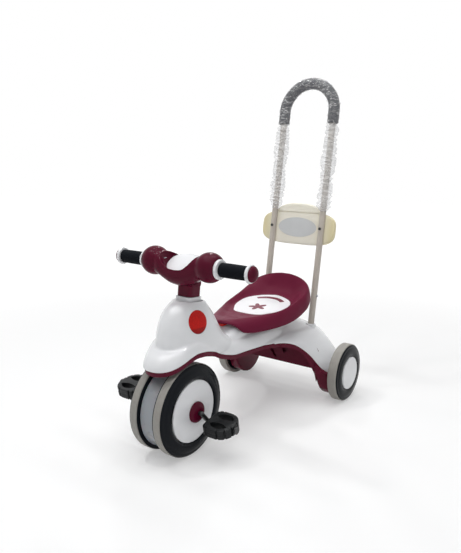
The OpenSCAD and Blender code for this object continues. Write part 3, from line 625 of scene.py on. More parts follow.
@dataclass(frozen=True)
class Moulded(Finish):
    """Moulded plastic with faint flow marks, fine scratches and a grain."""

    grain: Grain = Grain.POLISHED
    coat: float = 0.0
    see_through: float = 0.0
    shine: float = 0.5

    def make(self) -> bpy.types.Material:
        """Builds flow marks, a varied gloss and the grain's relief."""
        nodes = Nodes(self.name)
        nodes.set(Coat_Weight=self.coat, Coat_Roughness=0.06, Specular_IOR_Level=self.shine)
        if self.see_through:
            nodes.set(Subsurface_Weight=self.see_through, Subsurface_Scale=0.01)
        flow = nodes.noise(9, 3, stretch=(1, 0.5, 1.4))
        smear = nodes.noise(34, 5, 0.62)
        nodes.set(Base_Color=nodes.tones(flow, self.colour, 0.94, 1.04),
                  Roughness=nodes.spread(smear, self.roughness * 0.8, self.roughness * 1.25))
        if self.grain is Grain.POLISHED:
            nodes.relief(nodes.noise(16, 2), 0.25, 0.25)
        elif self.grain is Grain.SATIN:
            nodes.relief(nodes.noise(900, 3), 0.06, 0.5)
        else:
            nodes.relief(nodes.cells(620), 0.12, 0.6)
        return nodes.look


@dataclass(frozen=True)
class Cloudy(Finish):
    """Cloudy pale plastic with faint upright ribs, and painted shade in a yellower tone towards both sides,
    beside the legs' grooves.
    """

    # Yellower colour of the painted shade beside the legs' grooves
    groove_shade_colour: tuple = linear(226, 216, 176)

    def make(self) -> bpy.types.Material:
        """Builds the painted yellow shade by the distance from the middle, and the ribs' relief."""
        nodes = Nodes(self.name)
        # Painted shade: the plate turns yellower towards both sides, where the legs sit in their grooves
        groove_shade = nodes.spread(nodes.math("ABSOLUTE", nodes.axis("X")), 0, 1, 0.06, 0.118)
        nodes.set(Base_Color=nodes.two_tone(groove_shade, self.colour, self.groove_shade_colour), Roughness=self.roughness,
                  Subsurface_Weight=0.3, Subsurface_Scale=0.006, Subsurface_Radius=(1, 1, 1))
        nodes.relief(nodes.noise(90, 2, stretch=(2.4, 0.05, 0.05)), 0.5, 0.5)
        return nodes.look


@dataclass(frozen=True)
class Tread(Finish):
    """Soft grey tread with fine lines round the wheel and a little dust."""

    def make(self) -> bpy.types.Material:
        """Builds lines across the tread and dusty patches."""
        nodes = Nodes(self.name)
        dust = nodes.noise(60, 6, 0.7)
        wear = nodes.noise(140, 4)
        nodes.set(Base_Color=nodes.tones(dust, self.colour, 0.9, 1.06),
                  Roughness=nodes.spread(wear, self.roughness - 0.1, self.roughness + 0.15))
        nodes.relief(nodes.noise(520, 2, stretch=(2.2, 0.2, 0.2)), 0.15, 0.5)
        return nodes.look


@dataclass(frozen=True)
class Foam(Finish):
    """Closed cell foam with pores."""

    pores: float = 420
    sheen: float = 0.12
    shine: float = 0.2

    def make(self) -> bpy.types.Material:
        """Builds pores, a mottled colour and a dull sheen."""
        nodes = Nodes(self.name)
        mottle = nodes.noise(150, 5, 0.65)
        dull = nodes.noise(300, 3)
        nodes.set(Sheen_Weight=self.sheen, Sheen_Roughness=0.6, Specular_IOR_Level=self.shine,
                  Base_Color=nodes.tones(mottle, self.colour, 0.8, 1.25),
                  Roughness=nodes.spread(dull, self.roughness - 0.08, self.roughness + 0.08))
        nodes.relief(nodes.cells(self.pores), 0.4, 0.7)
        return nodes.look


@dataclass(frozen=True)
class Film(Finish):
    """Clear packing film: cloudy where it lies in several layers, with glossy wrinkles."""

    clear: float = 0.1
    cloudy: float = 0.5

    def make(self) -> bpy.types.Material:
        """Builds a cloudy see-through pattern with wrinkle relief."""
        nodes = Nodes(self.name)
        nodes.set(Base_Color=self.colour, Roughness=self.roughness, Specular_IOR_Level=0.7, IOR=1.46)
        layers = nodes.spread(nodes.noise(70, 5, 0.7, stretch=(1, 1, 1.6)), self.clear, self.cloudy, 0.4, 0.7)
        creases = nodes.lines(nodes.noise(38, 3, 0.6, stretch=(0.7, 0.7, 1.8)), 0.022)
        nodes.set(Alpha=nodes.math("MAXIMUM", layers, nodes.spread(creases, 0, 0.8, 0, 1)))
        nodes.relief(nodes.noise(120, 4, 0.7, stretch=(0.8, 0.8, 2.4)), 1.2, 0.7)
        return nodes.look


@dataclass(frozen=True)
class Coated(Finish):
    """Painted or plain metal."""

    metal: float = 0.0

    def make(self) -> bpy.types.Material:
        """Builds a fine orange peel or brushed relief with a varied gloss."""
        nodes = Nodes(self.name)
        tone = nodes.noise(40, 4)
        gloss = nodes.noise(220, 4)
        nodes.set(Metallic=self.metal, Coat_Weight=0.15 if self.metal < 0.5 else 0.0, Coat_Roughness=0.2,
                  Base_Color=nodes.tones(tone, self.colour, 0.95, 1.05),
                  Roughness=nodes.spread(gloss, self.roughness * 0.85, self.roughness * 1.2))
        nodes.relief(nodes.noise(1400, 2), 0.03, 0.4)
        return nodes.look


@dataclass(frozen=True)
class Lens(Finish):
    """Red reflector plastic with small cells under a clear face."""

    def make(self) -> bpy.types.Material:
        """Builds red cells seen under a clear coat, with painted light on the upper field and painted shade on
        the darker lower field.
        """
        nodes = Nodes(self.name)
        cells = nodes.spread(nodes.cells(260), 0, 1, 0.1, 0.7)
        # Lit and shaded copies of the red: painted light on the upper half, painted shade on the lower half
        lit_cells = nodes.two_tone(cells, shaded(self.colour, 1.3), shaded(self.colour, 1.05))
        lower = nodes.two_tone(cells, shaded(self.colour, 0.8), shaded(self.colour, 0.62))
        above = nodes.spread(nodes.axis("Z"), 0, 1, 0.314, 0.318)
        gloss = nodes.noise(50, 3)
        nodes.set(Coat_Weight=0.12, Coat_Roughness=0.05, Specular_IOR_Level=0.1,
                  Base_Color=nodes.two_tone(above, lower, lit_cells),
                  Roughness=nodes.spread(gloss, self.roughness * 0.8, self.roughness * 1.3))
        return nodes.look


WHITE = Moulded("white_gloss_plastic", "white_gloss", linear(236, 237, 239), 0.2, coat=0.3)
BURGUNDY = Moulded("burgundy_gloss_plastic", "burgundy_gloss", linear(98, 21, 45), 0.2, coat=0.04, shine=0.08)
HOUSING_RED = Moulded("burgundy_polished_plastic", "burgundy_gloss", linear(86, 12, 38), 0.18, coat=0.1,
                      shine=0.04)
SADDLE_RED = Moulded("burgundy_satin_plastic", "seat_plastic", linear(104, 28, 53), 0.42, grain=Grain.SATIN,
                     shine=0.08)
INLAY_WHITE = Moulded("white_inlay_plastic", "inlay_white", linear(240, 240, 242), 0.4, shine=0.12)
PRINT_RED = Moulded("burgundy_print", "seat_plastic", linear(112, 26, 50), 0.4, grain=Grain.SATIN)
LABEL_GREY = Moulded("bare_label", "label_grey", linear(206, 208, 208), 0.35)
SIDEWALL = Moulded("black_gloss_plastic", "tyre_black", linear(16, 20, 25), 0.22, shine=0.09)
PEDAL_BLACK = Moulded("black_pedal_plastic", "black_plastic", linear(24, 26, 28), 0.42, grain=Grain.PITTED,
                      shine=0.25)
DRUM_GREY = Moulded("cloudy_grey_plastic", "drum_grey", linear(158, 161, 166), 0.28, see_through=0.2,
                    shine=0.35)
CREAM = Cloudy("cloudy_cream_plastic", "cream_plate", linear(238, 234, 220), 0.3)
LATCH_RED = Moulded("red_plastic", "signal_red", linear(206, 34, 26), 0.25)
TREAD_GREY = Tread("grey_tread", "tread_grey", linear(152, 149, 143), 0.55)
FOAM_GREY = Foam("dark_grey_foam", "foam_grey", linear(88, 89, 93), 0.85)
GRIP_FOAM = Foam("black_foam", "grip_foam", linear(15, 18, 23), 0.7, pores=700, sheen=0.0, shine=0.06)
FILM = Film("clear_film", "clear_film", linear(240, 240, 240), 0.16)
GRIP_FILM = Film("thin_clear_film", "clear_film", linear(240, 240, 240), 0.14, clear=0.04, cloudy=0.2)
TUBE = Coated("warm_grey_paint", "tube_paint", linear(190, 182, 172), 0.34)
STEEL = Coated("plain_steel", "steel", linear(176, 178, 182), 0.3, metal=1.0)
CRANK_BLACK = Coated("black_coated_rod", "crank_black", linear(22, 23, 25), 0.35)
REFLECTOR = Lens("red_reflector", "signal_red", linear(192, 16, 8), 0.14)
# Steel nodes of the record that are black in the photo
BLACK_NODES = ("pedal_nuts", "plate_screws")

NODE_FINISHES = (WHITE, BURGUNDY, SADDLE_RED, INLAY_WHITE, LABEL_GREY, SIDEWALL, PEDAL_BLACK, DRUM_GREY,
                 CREAM, LATCH_RED, TREAD_GREY, FOAM_GREY, GRIP_FOAM, FILM, TUBE, STEEL, CRANK_BLACK)
SLOT_FINISH = {finish.slot: finish for finish in NODE_FINISHES}

# Sizes shared by several pieces

WHEELBASE = 534.0
FRONT_R = 115.0
REAR_R = 85.5
LEG_X = 181.0
HEAD_Y, HEAD_Z, HEAD_RAKE = 48.0, 383.0, math.radians(6)
FOOT_Y, FOOT_Z, LEG_RAKE = 529.0, 217.0, math.radians(8.8)
LEG_HALF = 84.0
BEND_S = 642.0
PLATE_S, PLATE_H = 236.0, 102.0
SOCKET_ROOM = 14.4
PLAN_POINTS, PLAN_SQUARE = 128, 2.15


def lean(points: np.ndarray, y: float, z: float, rake: float) -> np.ndarray:
    """Stands points of x, depth and height on a leaning axis.

    Args:
        points: x, distance behind the axis and distance along it.
        y: place of the axis' foot behind the front axle.
        z: height of the axis' foot.
        rake: backward lean in radians.

    Returns:
        Points in millimetres of the trike.
    """
    p = np.asarray(points, dtype=float)
    c, s = math.cos(rake), math.sin(rake)
    return xyz(p[..., 0], y + p[..., 1] * c + p[..., 2] * s, z - p[..., 1] * s + p[..., 2] * c)


def on_handle(points: np.ndarray) -> np.ndarray:
    """Stands points on the leaning push handle."""
    return lean(points, FOOT_Y, FOOT_Z, LEG_RAKE)


def on_neck(points: np.ndarray) -> np.ndarray:
    """Stands points on the leaning steering axis."""
    return lean(points, HEAD_Y, HEAD_Z, HEAD_RAKE)


def side_view(points: np.ndarray) -> np.ndarray:
    """Takes points of y, z and x to x, y and z."""
    p = np.asarray(points, dtype=float)
    return xyz(p[..., 2], p[..., 0], p[..., 1])


def plan_ring(z: np.ndarray, front: float, back: float, half: float, mid: float,
              square_back: float = PLAN_SQUARE) -> np.ndarray:
    """Ring in plan made of a front and a back half oval.

    Args:
        z: height, one for all points or one for each.
        front: foremost y.
        back: rearmost y.
        half: half width.
        mid: y where the two halves meet.
        square_back: exponent of the back oval, 2 for a plain one.

    Returns:
        The ring's points.
    """
    a = -angles(PLAN_POINTS)
    c, s = np.cos(a), np.sin(a)
    bend = np.where(s < 0, 2 / PLAN_SQUARE, 2 / square_back)
    y = mid + np.where(s < 0, mid - front, back - mid) * power(s, bend)
    return xyz(half * power(c, bend), y, z)


def cross_ring(y: float, half: float, foot: float, top: float, square: float) -> np.ndarray:
    """Section across the body with a level foot and a rounded top."""
    a = np.linspace(0, math.pi, 48)
    return xyz(half * power(np.cos(a), 2 / square), y, foot + (top - foot) * power(np.sin(a), 2 / square))


@dataclass
class Shell:
    """White body shell with its burgundy tray and leg ends."""

    wall: float = 3.2
    fit: float = 0.3
    band: float = 13.0
    skin_voxel: float = 2.7
    inner_voxel: float = 5.2
    tray_voxel: float = 3.8
    seat_front: float = 160.0
    # y, half width and top of the waist
    waist: tuple = ((-20, 59.5, 254), (120, 59.5, 254), (200, 62.5, 254), (250, 66, 254), (300, 70, 254),
                    (344, 75, 252), (404, 80, 246), (474, 84, 236), (534, 80, 223), (576, 62, 205))
    # height, front, back and half width of the tower
    tower: tuple = ((236, -52, 205, 59.5), (250, -52, 190, 59.5), (256, -52, 178, 59.5),
                    (264, -52, 166, 59.3), (274, -52, 153, 58.8), (287, -51.5, 140, 57.8),
                    (298, -50.5, 131, 56.4), (314, -48, 121, 53.6), (340, -40, 105, 47.5), (359, -27, 91, 41),
                    (370, -12, 84, 35), (378, 8, 80, 31))
    # y and height of the crease over the wheel apron
    crease: tuple = ((-95, 266), (-70, 269), (-49, 272), (-30, 279), (-10, 284), (6, 285), (47, 273),
                     (77, 260), (109, 241), (130, 227), (152, 212))
    # y and height of the white shell's lower edge
    edge: tuple = ((-130, 231), (-93, 231), (-77, 233), (-57, 239), (-38, 247), (-17, 256), (5, 261),
                   (29, 259), (54, 253), (79, 244), (105, 231), (133, 221), (167, 213), (208, 211),
                   (292, 207), (330, 204.5))
    # distance behind the seat's nose, half width and height of the plinth
    plinth: tuple = ((2, 34, 246), (6, 42, 259), (12, 46, 268), (20, 48, 275), (30, 49, 279), (44, 49, 281),
                     (80, 49, 279), (200, 48, 279), (240, 46, 281), (290, 36, 283), (322, 27, 283),
                     (336, 24, 262))
    # share of the leg's reach, front edge, its height, rear edge, its height and the ridge
    arch: tuple = ((0.00, -240, 204, 50, 190, 240), (0.24, -240, 204, 50, 190, 231),
                   (0.39, -240, 205, 49, 188, 220), (0.46, -180, 199, 48, 184, 215),
                   (0.56, -138, 187, 45, 170, 207), (0.66, -110, 166, 41, 150, 196),
                   (0.74, -92, 145, 38, 133, 184), (0.82, -76, 119, 34, 112, 171),
                   (0.88, -66, 104, 31, 98, 161), (0.94, -59, 96, 29, 88, 151), (1.00, -56, 93, 28, 84, 142))
    # power of the arch's section
    arch_power: float = 2.15

    def apron_part(self) -> Piece:
        """Shapes the bulging apron over the wheel up to its crease."""
        widest, foot = 0.42, 200
        front, back, half, middle = -93, 152, 68, 25
        rings = []
        for t in np.linspace(0, 1, 26):
            turn_in = max(0.0, (t - widest) / (1 - widest))
            curl = 1 - math.sqrt(max(0.0, 1 - turn_in**2))
            low = max(0.0, (widest - t) / widest)
            ring = plan_ring(0, front + 44 * curl + 8 * low**2, back - 4 * curl, half - 12 * curl - 5 * low**2,
                             middle)
            top = smooth_table(self.crease, ring[:, 1])[:, 0]
            ring[:, 2] = foot + (top - foot) * t
            rings.append(ring)
        return loft("apron", rings)

    def arch_part(self, drop: float) -> Piece:
        """Shapes the arch over the rear axle with straight feet below its edges."""
        shares = np.linspace(-1, 1, 81)
        a = np.linspace(0, math.pi, 40)
        t = (1 - np.cos(a)) / 2
        rings = []
        for share, (y1, z1, y2, z2, top) in zip(shares, smooth_table(self.arch, np.abs(shares))):
            base = z1 + (z2 - z1) * t
            y = (y1 + y2) / 2 - (y2 - y1) / 2 * power(np.cos(a), 2 / self.arch_power)
            z = base + (top - base) * power(np.sin(a), 2 / self.arch_power)
            y = np.concatenate([[y1], y, [y2]]) + WHEELBASE
            z = np.concatenate([[z1 - drop], z, [z2 - drop]])
            rings.append(xyz(share * LEG_X, y, z))
        return loft("arch", rings)

    def solid(self) -> Piece:
        """Melts tower, apron, waist, plinth and arch into one smooth shape."""
        heights = np.linspace(236, 378, 40)
        tower = loft("tower", [plan_ring(z, front, back, half, HEAD_Y, square_back=3)
                               for z, (front, back, half) in zip(heights, smooth_table(self.tower, heights))])
        places = np.linspace(-20, 576, 60)
        squares = np.interp(places, (290, 400), (5, 2.6))
        waist = loft("waist", [cross_ring(y, half, 150, top, square) for y, square, (half, top)
                               in zip(places, squares, smooth_table(self.waist, places))])
        behind = np.linspace(2, 336, 80)
        plinth = loft("plinth", [cross_ring(self.seat_front + y, half, 225, top, 4) for y, (half, top)
                                 in zip(behind, smooth_table(self.plinth, behind))])
        whole = join("body_solid", [tower, self.apron_part(), waist, plinth, self.arch_part(80)])
        melt(whole, self.skin_voxel)
        smooth(whole, 3)
        return whole

    def edge_prism(self, drop: float, above: bool = False) -> Piece:
        """Makes the room below the white shell's edge, or above it."""
        places = np.linspace(-130, 330, 116)
        heights = smooth_table(self.edge, places)[:, 0] - drop
        far = 460 if above else 60
        outline = list(zip(places, heights)) + [(places[-1], far), (places[0], far)]
        return slab("edge_room", outline, -300, 300, side_view)

    def arch_room(self, drop: float, foot_drop: float = 0.0) -> Piece:
        """Makes the room below the arch's edges.

        Args:
            drop: how far below the white edge the room begins.
            foot_drop: further drop at the legs' feet.

        Returns:
            The room as a cutter.
        """
        shares = np.linspace(-1.12, 1.12, 113)
        steps = np.linspace(0, 1, 8)
        beyond, pit = 150, -90
        rings = []
        for share, (y1, z1, y2, z2, _) in zip(shares, smooth_table(self.arch, np.minimum(np.abs(shares), 1))):
            near_foot = min(1.0, max(0.0, (abs(share) - 0.6) / 0.25))
            front, back = y1 - beyond, y2 + beyond
            y = np.concatenate([[front], y1 + (y2 - y1) * steps, [back, back, front]]) + WHEELBASE
            z = np.concatenate([[z1], z1 + (z2 - z1) * steps, [z2, pit, pit]])
            z[:-2] -= drop + foot_drop * near_foot**2 * (3 - 2 * near_foot)
            rings.append(xyz(share * LEG_X, y, z))
        return loft("arch_room", rings)

    def leg_room(self, side: int) -> Piece:
        """Makes the round room of a handle socket."""
        return rod(SOCKET_ROOM, -80, 60, on_handle, side * LEG_HALF)

    def build(self) -> None:
        """Makes the white shell and the tray below it."""
        whole = self.solid()
        inner = copy_piece(whole, "inner_solid")
        melt(inner, self.inner_voxel)
        hollow = copy_piece(inner, "hollow_solid")
        fatten(inner, -self.wall)
        tray = copy_piece(whole, "lower_tray_skin")
        melt(tray, self.tray_voxel)
        fatten(tray, -self.wall - self.fit)
        fatten(hollow, -2 * self.wall - self.fit)
        self.white(whole, inner)
        self.tray(tray, hollow)

    def white(self, piece: Piece, inner: Piece) -> None:
        """Cuts the white shell to its edges and openings."""
        name_piece(piece, "upper_shell_skin")
        cut(piece, inner, self.edge_prism(0), self.arch_room(0))
        square = [(-90, -90), (90, -90), (90, 90), (-90, 90)]
        cut(piece, slab("neck_room", square, -10, 90, on_neck), rod(17, -120, 10, on_neck))
        for side in SIDE_WORD:
            cut(piece, self.leg_room(side), Reflector().seat(side))
        well = block((-35, 35), (290, 440), (200, 320))
        latch_slot = block((-11.6, 11.6), (169, 219), (277.4, 284.6))
        cut(piece, well, latch_slot)
        shade(piece, 50)
        settle(piece, "trike_body", WHITE, "upper_shell")

    def leg_end(self, side: int) -> Piece:
        """Shapes the smooth end of a rear leg, from the white edge down round the axle."""
        line = [(60, 46), (-40, 62), (-80, 58), (-85, 44), (-88, 30), (-88.5, 18), (-87, 8), (-83, -2),
                (-77, -11), (-71, -21), (-64, -33), (-54, -47), (-41, -59), (-26, -68), (-9, -73.5),
                (9, -74.5), (28, -69.5), (45, -60), (59, -46), (69, -29), (74, -10), (73, 12), (68, 30)]
        line = np.array(rounded(line, 6, 4))
        middle = np.array([-4.0, 0.0])
        reach = np.linalg.norm(line - middle, axis=1, keepdims=True)
        rings = []
        for x, inset in ((143, 6), (143.4, 3.6), (144.4, 1.8), (146, 0.6), (148.5, 0), (156, 0), (165, 0),
                         (174, 0), (178, 0.8), (180, 2.4), (181, 5)):
            flat = middle + (line - middle) * (reach - inset) / reach
            ahead = np.clip((flat[:, 1] + 45) / 45, 0, 1) * np.clip(-flat[:, 0] / 60, 0, 1)
            y = WHEELBASE + flat[:, 0] + 0.55 * max(0.0, x - 148) * ahead
            rings.append(xyz(side * x, y, REAR_R + flat[:, 1]))
        piece = loft("leg_end", rings)
        cut(piece, self.arch_room(0.4), how=Join.KEEP_COMMON)
        return piece

    def leg_skirt(self, side: int) -> Piece:
        """Shapes the skirt that widens from the band to the leg's end below the white edge."""
        shares = np.linspace(0.46, 0.815, 24)
        # share of the leg's reach, drop below the white edge and setback of the lower edge
        drops = ((0.46, 12.5, 0), (0.56, 14, 3), (0.62, 20, 9), (0.66, 28, 13), (0.70, 34, 13),
                 (0.74, 39, 10), (0.78, 46, 3), (0.815, 52, -7))
        t = np.linspace(0, 1, 12)
        rings = []
        for share, (y1, z1, *_), (drop, setback) in zip(shares, smooth_table(self.arch, shares),
                                                        smooth_table(drops, shares)):
            front = xyz(y1 + 1 + setback * t**1.5, z1 - 0.5 - drop * t)
            ring = np.concatenate([front, (front + [3.5, 0])[::-1]])
            rings.append(xyz(side * share * LEG_X, ring[:, 0] + WHEELBASE, ring[:, 1]))
        return loft("leg_skirt", rings)

    def cross_panel(self) -> Piece:
        """Makes the panel between the rear legs, with two slanting pockets and a web between them."""
        at, foot, rib_top, rib = 467.0, 100.0, 156, 1.5
        half = np.linspace(0, 0.8, 40)
        line = []
        for share, (y1, z1, y2, z2, top) in zip(half, smooth_table(self.arch, half)):
            across = ((y1 + y2) / 2 - (at - WHEELBASE)) / ((y2 - y1) / 2)
            c = min(1.0, abs(across)) ** 1.3
            base = z1 + (z2 - z1) * 0.2
            line.append((share * LEG_X, base + (top - base) * (1 - c * c) ** 0.385 - self.wall - 1))
        outline = [(-150, foot), (150, foot)] + line[::-1] + [(-x, z) for x, z in line[1:]]
        outline = [(x, max(z, foot)) for x, z in outline]

        def stand(p: np.ndarray) -> np.ndarray:
            return xyz(p[..., 0], at + p[..., 2], p[..., 1])
        panel = slab("panel", outline, -1.5, 1.5, stand)
        for corners in (((-24, 134), (-10, 134), (4, 109), (-4, 109)),
                        ((17, 150), (44, 150), (40, 137), (26, 128))):
            cut(panel, slab("pocket", rounded(corners, 2), -20, 20, stand))
        ribs = [block((-30, 52), (474, 476), (foot + 4, rib_top))]
        ribs += [block((x - rib, x + rib), (466, 475), (foot + 4, rib_top)) for x in (-30, 10, 52)]
        return join("panel", [panel] + ribs)

    def tray(self, piece: Piece, hollow: Piece) -> None:
        """Cuts the tray's band and lining, and adds its floor, cross panel and leg ends."""
        panel = self.cross_panel()
        cut(hollow, block((-140, 140), (-200, 700), (0, 500)), how=Join.KEEP_COMMON)
        cut(piece, hollow, self.edge_prism(self.band), self.edge_prism(-8, above=True),
            self.arch_room(self.band, 40))
        cut(piece, block((-60, 60), (328, 494), (240, 320)), *[self.leg_room(side) for side in SIDE_WORD])
        places = np.linspace(143, 330, 30)
        heights = smooth_table(self.edge, places)[:, 0] - self.band
        line = list(zip(places, heights)) + [(468, 191)]
        floor = slab("tray_floor", line + [(y, z + 3) for y, z in reversed(line)], -57, 57, side_view)
        ends = [self.leg_end(side) for side in SIDE_WORD] + [self.leg_skirt(side) for side in SIDE_WORD]
        piece = join("lower_tray_skin", [piece, floor, panel] + ends)
        shade(piece, 50)
        settle(piece, "trike_body", BURGUNDY, "lower_tray", "arch_lining", "leg_ends")


@dataclass
class Reflector:
    """Round red reflector set into the side of the tower."""

    radius: float = 28.5
    up: float = math.radians(14)
    turned_ahead: float = math.radians(13)
    deep: float = 42.0
    thick: float = 6.0
    y: float = HEAD_Y - 12
    z: float = 330.0

    def frame(self, side: int) -> tuple[np.ndarray, np.ndarray, np.ndarray, np.ndarray]:
        """Gives the seat's middle, its outward direction and two directions across."""
        out = np.array([side * math.cos(self.up) * math.cos(self.turned_ahead),
                        -math.cos(self.up) * math.sin(self.turned_ahead), math.sin(self.up)])
        base = np.array([0, self.y, self.z - (self.deep + self.thick) * math.sin(self.up)]) + out * self.deep
        across = np.cross(out, [0, 0, 1.0])
        across /= np.linalg.norm(across)
        return base, out, across, np.cross(across, out)

    def disc(self, name: str, side: int, stations: Sequence[tuple[float, float]]) -> Piece:
        """Lofts round rings of radius and height along the seat's direction."""
        base, out, across, upward = self.frame(side)
        a = angles(64)[:, None]
        rings = [base + out * h + r * (np.cos(a) * across + np.sin(a) * upward) for r, h in stations]
        return loft(name, rings)

    def seat(self, side: int) -> Piece:
        """Makes the round room that the lens sits in."""
        return self.disc("lens_room", side, ((self.radius + 0.3, 0.0), (self.radius + 0.3, 40.0)))

    def build(self) -> None:
        """Makes both lenses with a crowned face."""
        r, edge, rise = self.radius, 5.0, 3.0
        crown = [(r * math.cos(t), edge + rise * math.sin(t)) for t in np.linspace(0, 1.5, 14)]
        for side, word in SIDE_WORD.items():
            lens = self.disc(f"{word}_reflector_lens", side, [(r - 3, 0.2), (r, 0.4), (r, 4.0)] + crown)
            shade(lens, 40)
            settle(lens, "trike_body", REFLECTOR, f"{word}_reflector")


@dataclass
class Saddle:
    """Dished saddle with its rolled rim, white inlay and red latch."""

    front: float = 160.0
    length: float = 354.0
    half: float = 113.0
    thick: float = 5.0
    # share from nose to back, half width share, heights of rim, dish and skirt, place of the roll and
    # flat share of the dish
    rows: tuple = ((0.000, 0.11, 298, 297, 292, 0.35, 0.30), (0.028, 0.28, 298, 297, 290, 0.35, 0.30),
                   (0.065, 0.39, 296.5, 295.5, 284, 0.38, 0.30), (0.090, 0.465, 296, 294.5, 275, 0.42, 0.35),
                   (0.120, 0.54, 295.5, 293, 264, 0.48, 0.40), (0.230, 0.71, 295, 289.5, 260, 0.64, 0.55),
                   (0.370, 0.84, 296, 287, 260, 0.78, 0.72), (0.510, 0.94, 300.5, 289, 262, 0.86, 0.84),
                   (0.690, 1.00, 311, 296, 272, 0.87, 0.82), (0.800, 1.00, 322, 300.5, 284, 0.88, 0.62),
                   (0.880, 0.955, 334, 307.5, 297, 0.88, 0.45), (0.930, 0.885, 345, 321, 308, 0.87, 0.38),
                   (0.960, 0.765, 353, 338, 319, 0.84, 0.30), (0.980, 0.60, 359.5, 353, 329, 0.79, 0.30),
                   (0.992, 0.42, 363.5, 362, 338, 0.72, 0.30), (1.000, 0.20, 366, 366, 347, 0.62, 0.30))
    bend: float = 1.7
    inlay_lift: float = 1.5
    print_lift: float = 2.3
    # y and half width of the inlay
    inlay: tuple = ((291, 5), (292, 22), (297, 38), (304, 47), (316, 54), (340, 68), (364, 76), (392, 78),
                    (412, 75), (432, 64), (447, 47), (458, 24), (463, 6))

    @staticmethod
    def dip(inside: np.ndarray, flat: np.ndarray) -> np.ndarray:
        """Share of the dish's depth regained between its flat middle and the rim at 1."""
        rise = np.clip((inside - flat) / (1 - flat), 0, 1)
        return rise**2 * (3 - 2 * rise)

    def read(self, y: np.ndarray) -> np.ndarray:
        """Reads the rows at distances y."""
        return smooth_table(self.rows, (np.atleast_1d(y) - self.front) / self.length)

    def surface(self, y: np.ndarray, u: np.ndarray) -> np.ndarray:
        """Height of the saddle's top at distances y and shares u of the half width."""
        row = self.read(y)
        rim, dish, skirt, roll, flat = (row[:, i:i + 1] for i in (1, 2, 3, 4, 5))
        u = np.abs(np.atleast_2d(u))
        inside = np.clip(u / roll, 0, 1)
        outside = np.clip((u - roll) / (1 - roll), 0, 1)
        bowl = dish + (rim - dish) * self.dip(inside, flat)
        drop = 1 - (1 - outside**self.bend) ** (1 / self.bend)
        return np.where(u <= roll, bowl, rim - (rim - skirt) * drop)

    def half_width(self, y: np.ndarray) -> np.ndarray:
        """Half width of the saddle at distances y."""
        return self.read(y)[:, 0] * self.half

    def ring(self, y: float) -> np.ndarray:
        """Gives the closed section of the saddle at a distance y: top, rolled lip and underside."""
        w, rim, dish, skirt, roll, flat = self.read(y)[0]
        w *= self.half
        t = min(self.thick, 0.35 * w, 0.6 * (rim - skirt))
        inside = np.linspace(0, 1, 22)
        bowl = dish + (rim - dish) * self.dip(inside, flat)
        arc = np.linspace(0, math.pi / 2, 20)[1:]
        out, drop = np.sin(arc) ** (2 / self.bend), 1 - np.cos(arc) ** (2 / self.bend)
        lip = np.linspace(0, math.pi, 9)[1:-1]
        crest = w * roll
        x = np.concatenate([crest * inside, crest + w * (1 - roll) * out, w - t / 2 + t / 2 * np.cos(lip),
                            (crest + (w * (1 - roll) - t) * out)[::-1], (crest * inside)[::-1]])
        z = np.concatenate([bowl, rim - (rim - skirt) * drop, skirt - t / 2 * np.sin(lip),
                            (rim - t - (rim - t - skirt) * drop)[::-1], (bowl - t)[::-1]])
        side = xyz(x, y, z)
        return np.concatenate([side, (side * [-1, 1, 1])[-2:0:-1]])

    def shell(self) -> None:
        """Shapes the saddle as one closed skin with a rolled lip and rounded ends."""
        places = self.front + self.length * (1 - np.cos(np.linspace(0, math.pi, 120))) / 2
        rings = [self.ring(float(y)) for y in places]
        nose, tail = rings[0], rings[-1]
        for ends, way in ((nose, -1), (tail, 1)):
            middle = (ends.max(axis=0) + ends.min(axis=0)) / 2
            extra = [middle + (ends - middle) * share + [0, way * out, 0]
                     for share, out in ((0.93, 1.1), (0.78, 2.2), (0.5, 3.2), (0.2, 3.7), (0.03, 3.8))]
            rings = extra[::-1] + rings if way < 0 else rings + extra
        piece = loft("saddle_skin", rings)
        smooth(piece, 4)
        shade(piece, 60)
        settle(piece, "seat", SADDLE_RED, "seat_shell")

    def laid(self, flat: np.ndarray, rise: float) -> np.ndarray:
        """Lays points of x and y over the saddle's top at a height."""
        u = flat[:, 0] / self.half_width(flat[:, 1])
        z = np.array([self.surface(y, v)[0, 0] for y, v in zip(flat[:, 1], u)])
        return lifted(flat, z + rise)

    def patch(self, name: str, outline: np.ndarray, lift: float, rows: int) -> Piece:
        """Lays a thin patch on the saddle inside an outline.

        Args:
            name: name of the patch.
            outline: x and y of its rim, in order.
            lift: height of its face over the saddle.
            rows: rings between the rim and the middle.

        Returns:
            The patch with a rounded rim.
        """
        middle = outline.mean(axis=0)
        below = [(s, -2.2) for s in np.linspace(0.02, 1.0, rows)]
        rim = [(1.0, lift - 0.5), (0.994, lift - 0.12), (0.985, lift)]
        face = [(s, lift) for s in np.linspace(0.96, 0.02, rows)]
        rings = [self.laid(middle + (outline - middle) * share, rise) for share, rise in below + rim + face]
        piece = loft(name, rings)
        shade(piece, 40)
        return piece

    def ribbon(self, name: str, first: np.ndarray, second: np.ndarray) -> Piece:
        """Lays a thin curved stripe on the inlay between its two long sides."""
        top, foot = self.print_lift, -1.5
        edge = top - 0.2
        stations = ((0.0, foot), (0.0, edge), (0.1, top), (0.5, top), (0.9, top), (1.0, edge), (1.0, foot))
        rings = [self.laid(first + (second - first) * share, rise) for share, rise in stations]
        piece = loft(name, np.array(rings).transpose(1, 0, 2))
        shade(piece, 40)
        return piece

